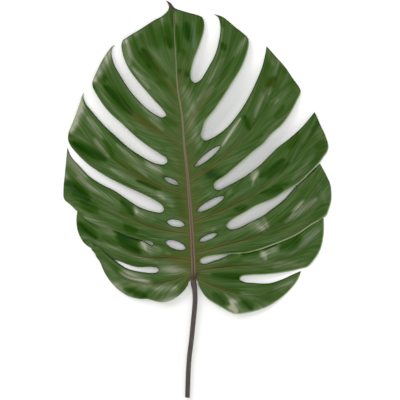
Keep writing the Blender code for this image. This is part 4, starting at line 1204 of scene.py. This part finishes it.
def stalk_material():
    """Dark brown with lengthwise streaks, painted shade in the grooves, and paler at the cut end."""
    shade = Shading("petiole_brown")
    spot = shade.add("ShaderNodeTexCoord", [], "Object")
    x, y, z = (shade.add("ShaderNodeSeparateXYZ", [(0, spot)], axis) for axis in range(3))
    across, along = STALK_STREAKS
    streaks = shade.noise(shade.times(x, across), shade.times(y, along), shade.times(z, across), 3.0)
    blotches = shade.noise(shade.times(y, STALK_BLOTCHES), 2.0, 5.0, 3.0)
    tone = shade.math("ADD", shade.times(streaks, 0.75), shade.times(blotches, 0.3))
    # Painted shade: darker in the grooves.
    tone = shade.math("MULTIPLY_ADD", shade.attribute("stalk_groove"), -3.0, tone)
    colour = shade.ramp(tone, STALK_COLOURS)
    colour = shade.mix(shade.attribute("stalk_cut"), colour, STALK_CUT)
    roughness = shade.span(streaks, 0.2, 0.8, 0.45, 0.65)
    return shade.finish(colour, roughness, streaks, 0.0003, 0.35)


def make_floor():
    """Plain pale surface under the leaf."""
    mesh = bpy.data.meshes.new("floor")
    corners = [(x * FLOOR_SIZE / 2, y * FLOOR_SIZE / 2, FLOOR_HEIGHT) for x, y in SQUARE]
    mesh.from_pydata(corners, [], [(0, 1, 2, 3)])
    floor = add_object("floor", mesh)
    shade = Shading("floor_white")
    shade.feed(shade.shader.inputs["Base Color"], FLOOR_COLOUR)
    shade.shader.inputs["Roughness"].default_value = 0.9
    shade.shader.inputs["Specular IOR Level"].default_value = 0.1
    floor.data.materials.append(shade.material)
    return floor


def make_camera():
    """Looks straight down, with the drip tip up in the image."""
    data = bpy.data.cameras.new("camera")
    x, y = place(FRAME_MIDDLE)
    data.angle = 2 * math.atan(FRAME_SIZE * UNIT / 2 / (CAMERA_HEIGHT - VIEW_PLANE))
    data.clip_end = 20
    camera = add_object("camera", data)
    camera.location = (x, y, CAMERA_HEIGHT)
    bpy.context.scene.camera = camera


def make_lights():
    """Soft boxes aimed at the leaf, and a dim even surround."""
    for name, spot, size, power, colour in LIGHTS:
        data = bpy.data.lights.new(name, "AREA")
        data.shape = "SQUARE"
        data.size = size
        data.energy = power
        data.color = colour
        light = add_object(name, data)
        light.location = spot
        light.rotation_euler = (-light.location).to_track_quat("-Z", "Y").to_euler()
    world = bpy.data.worlds.new("surround")
    world.use_nodes = True
    background = world.node_tree.nodes["Background"]
    background.inputs["Color"].default_value = (1.0, 1.0, 1.0, 1.0)
    background.inputs["Strength"].default_value = SURROUND
    bpy.context.scene.world = world
    bpy.context.scene.view_settings.view_transform = "Standard"


def main():
    blade = make_blade(leaf_lines())
    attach(blade, "root")
    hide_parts("leaf_blade")
    stalk = make_stalk()
    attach(stalk, "root")
    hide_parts("petiole")
    make_floor()
    make_camera()
    make_lights()


main()
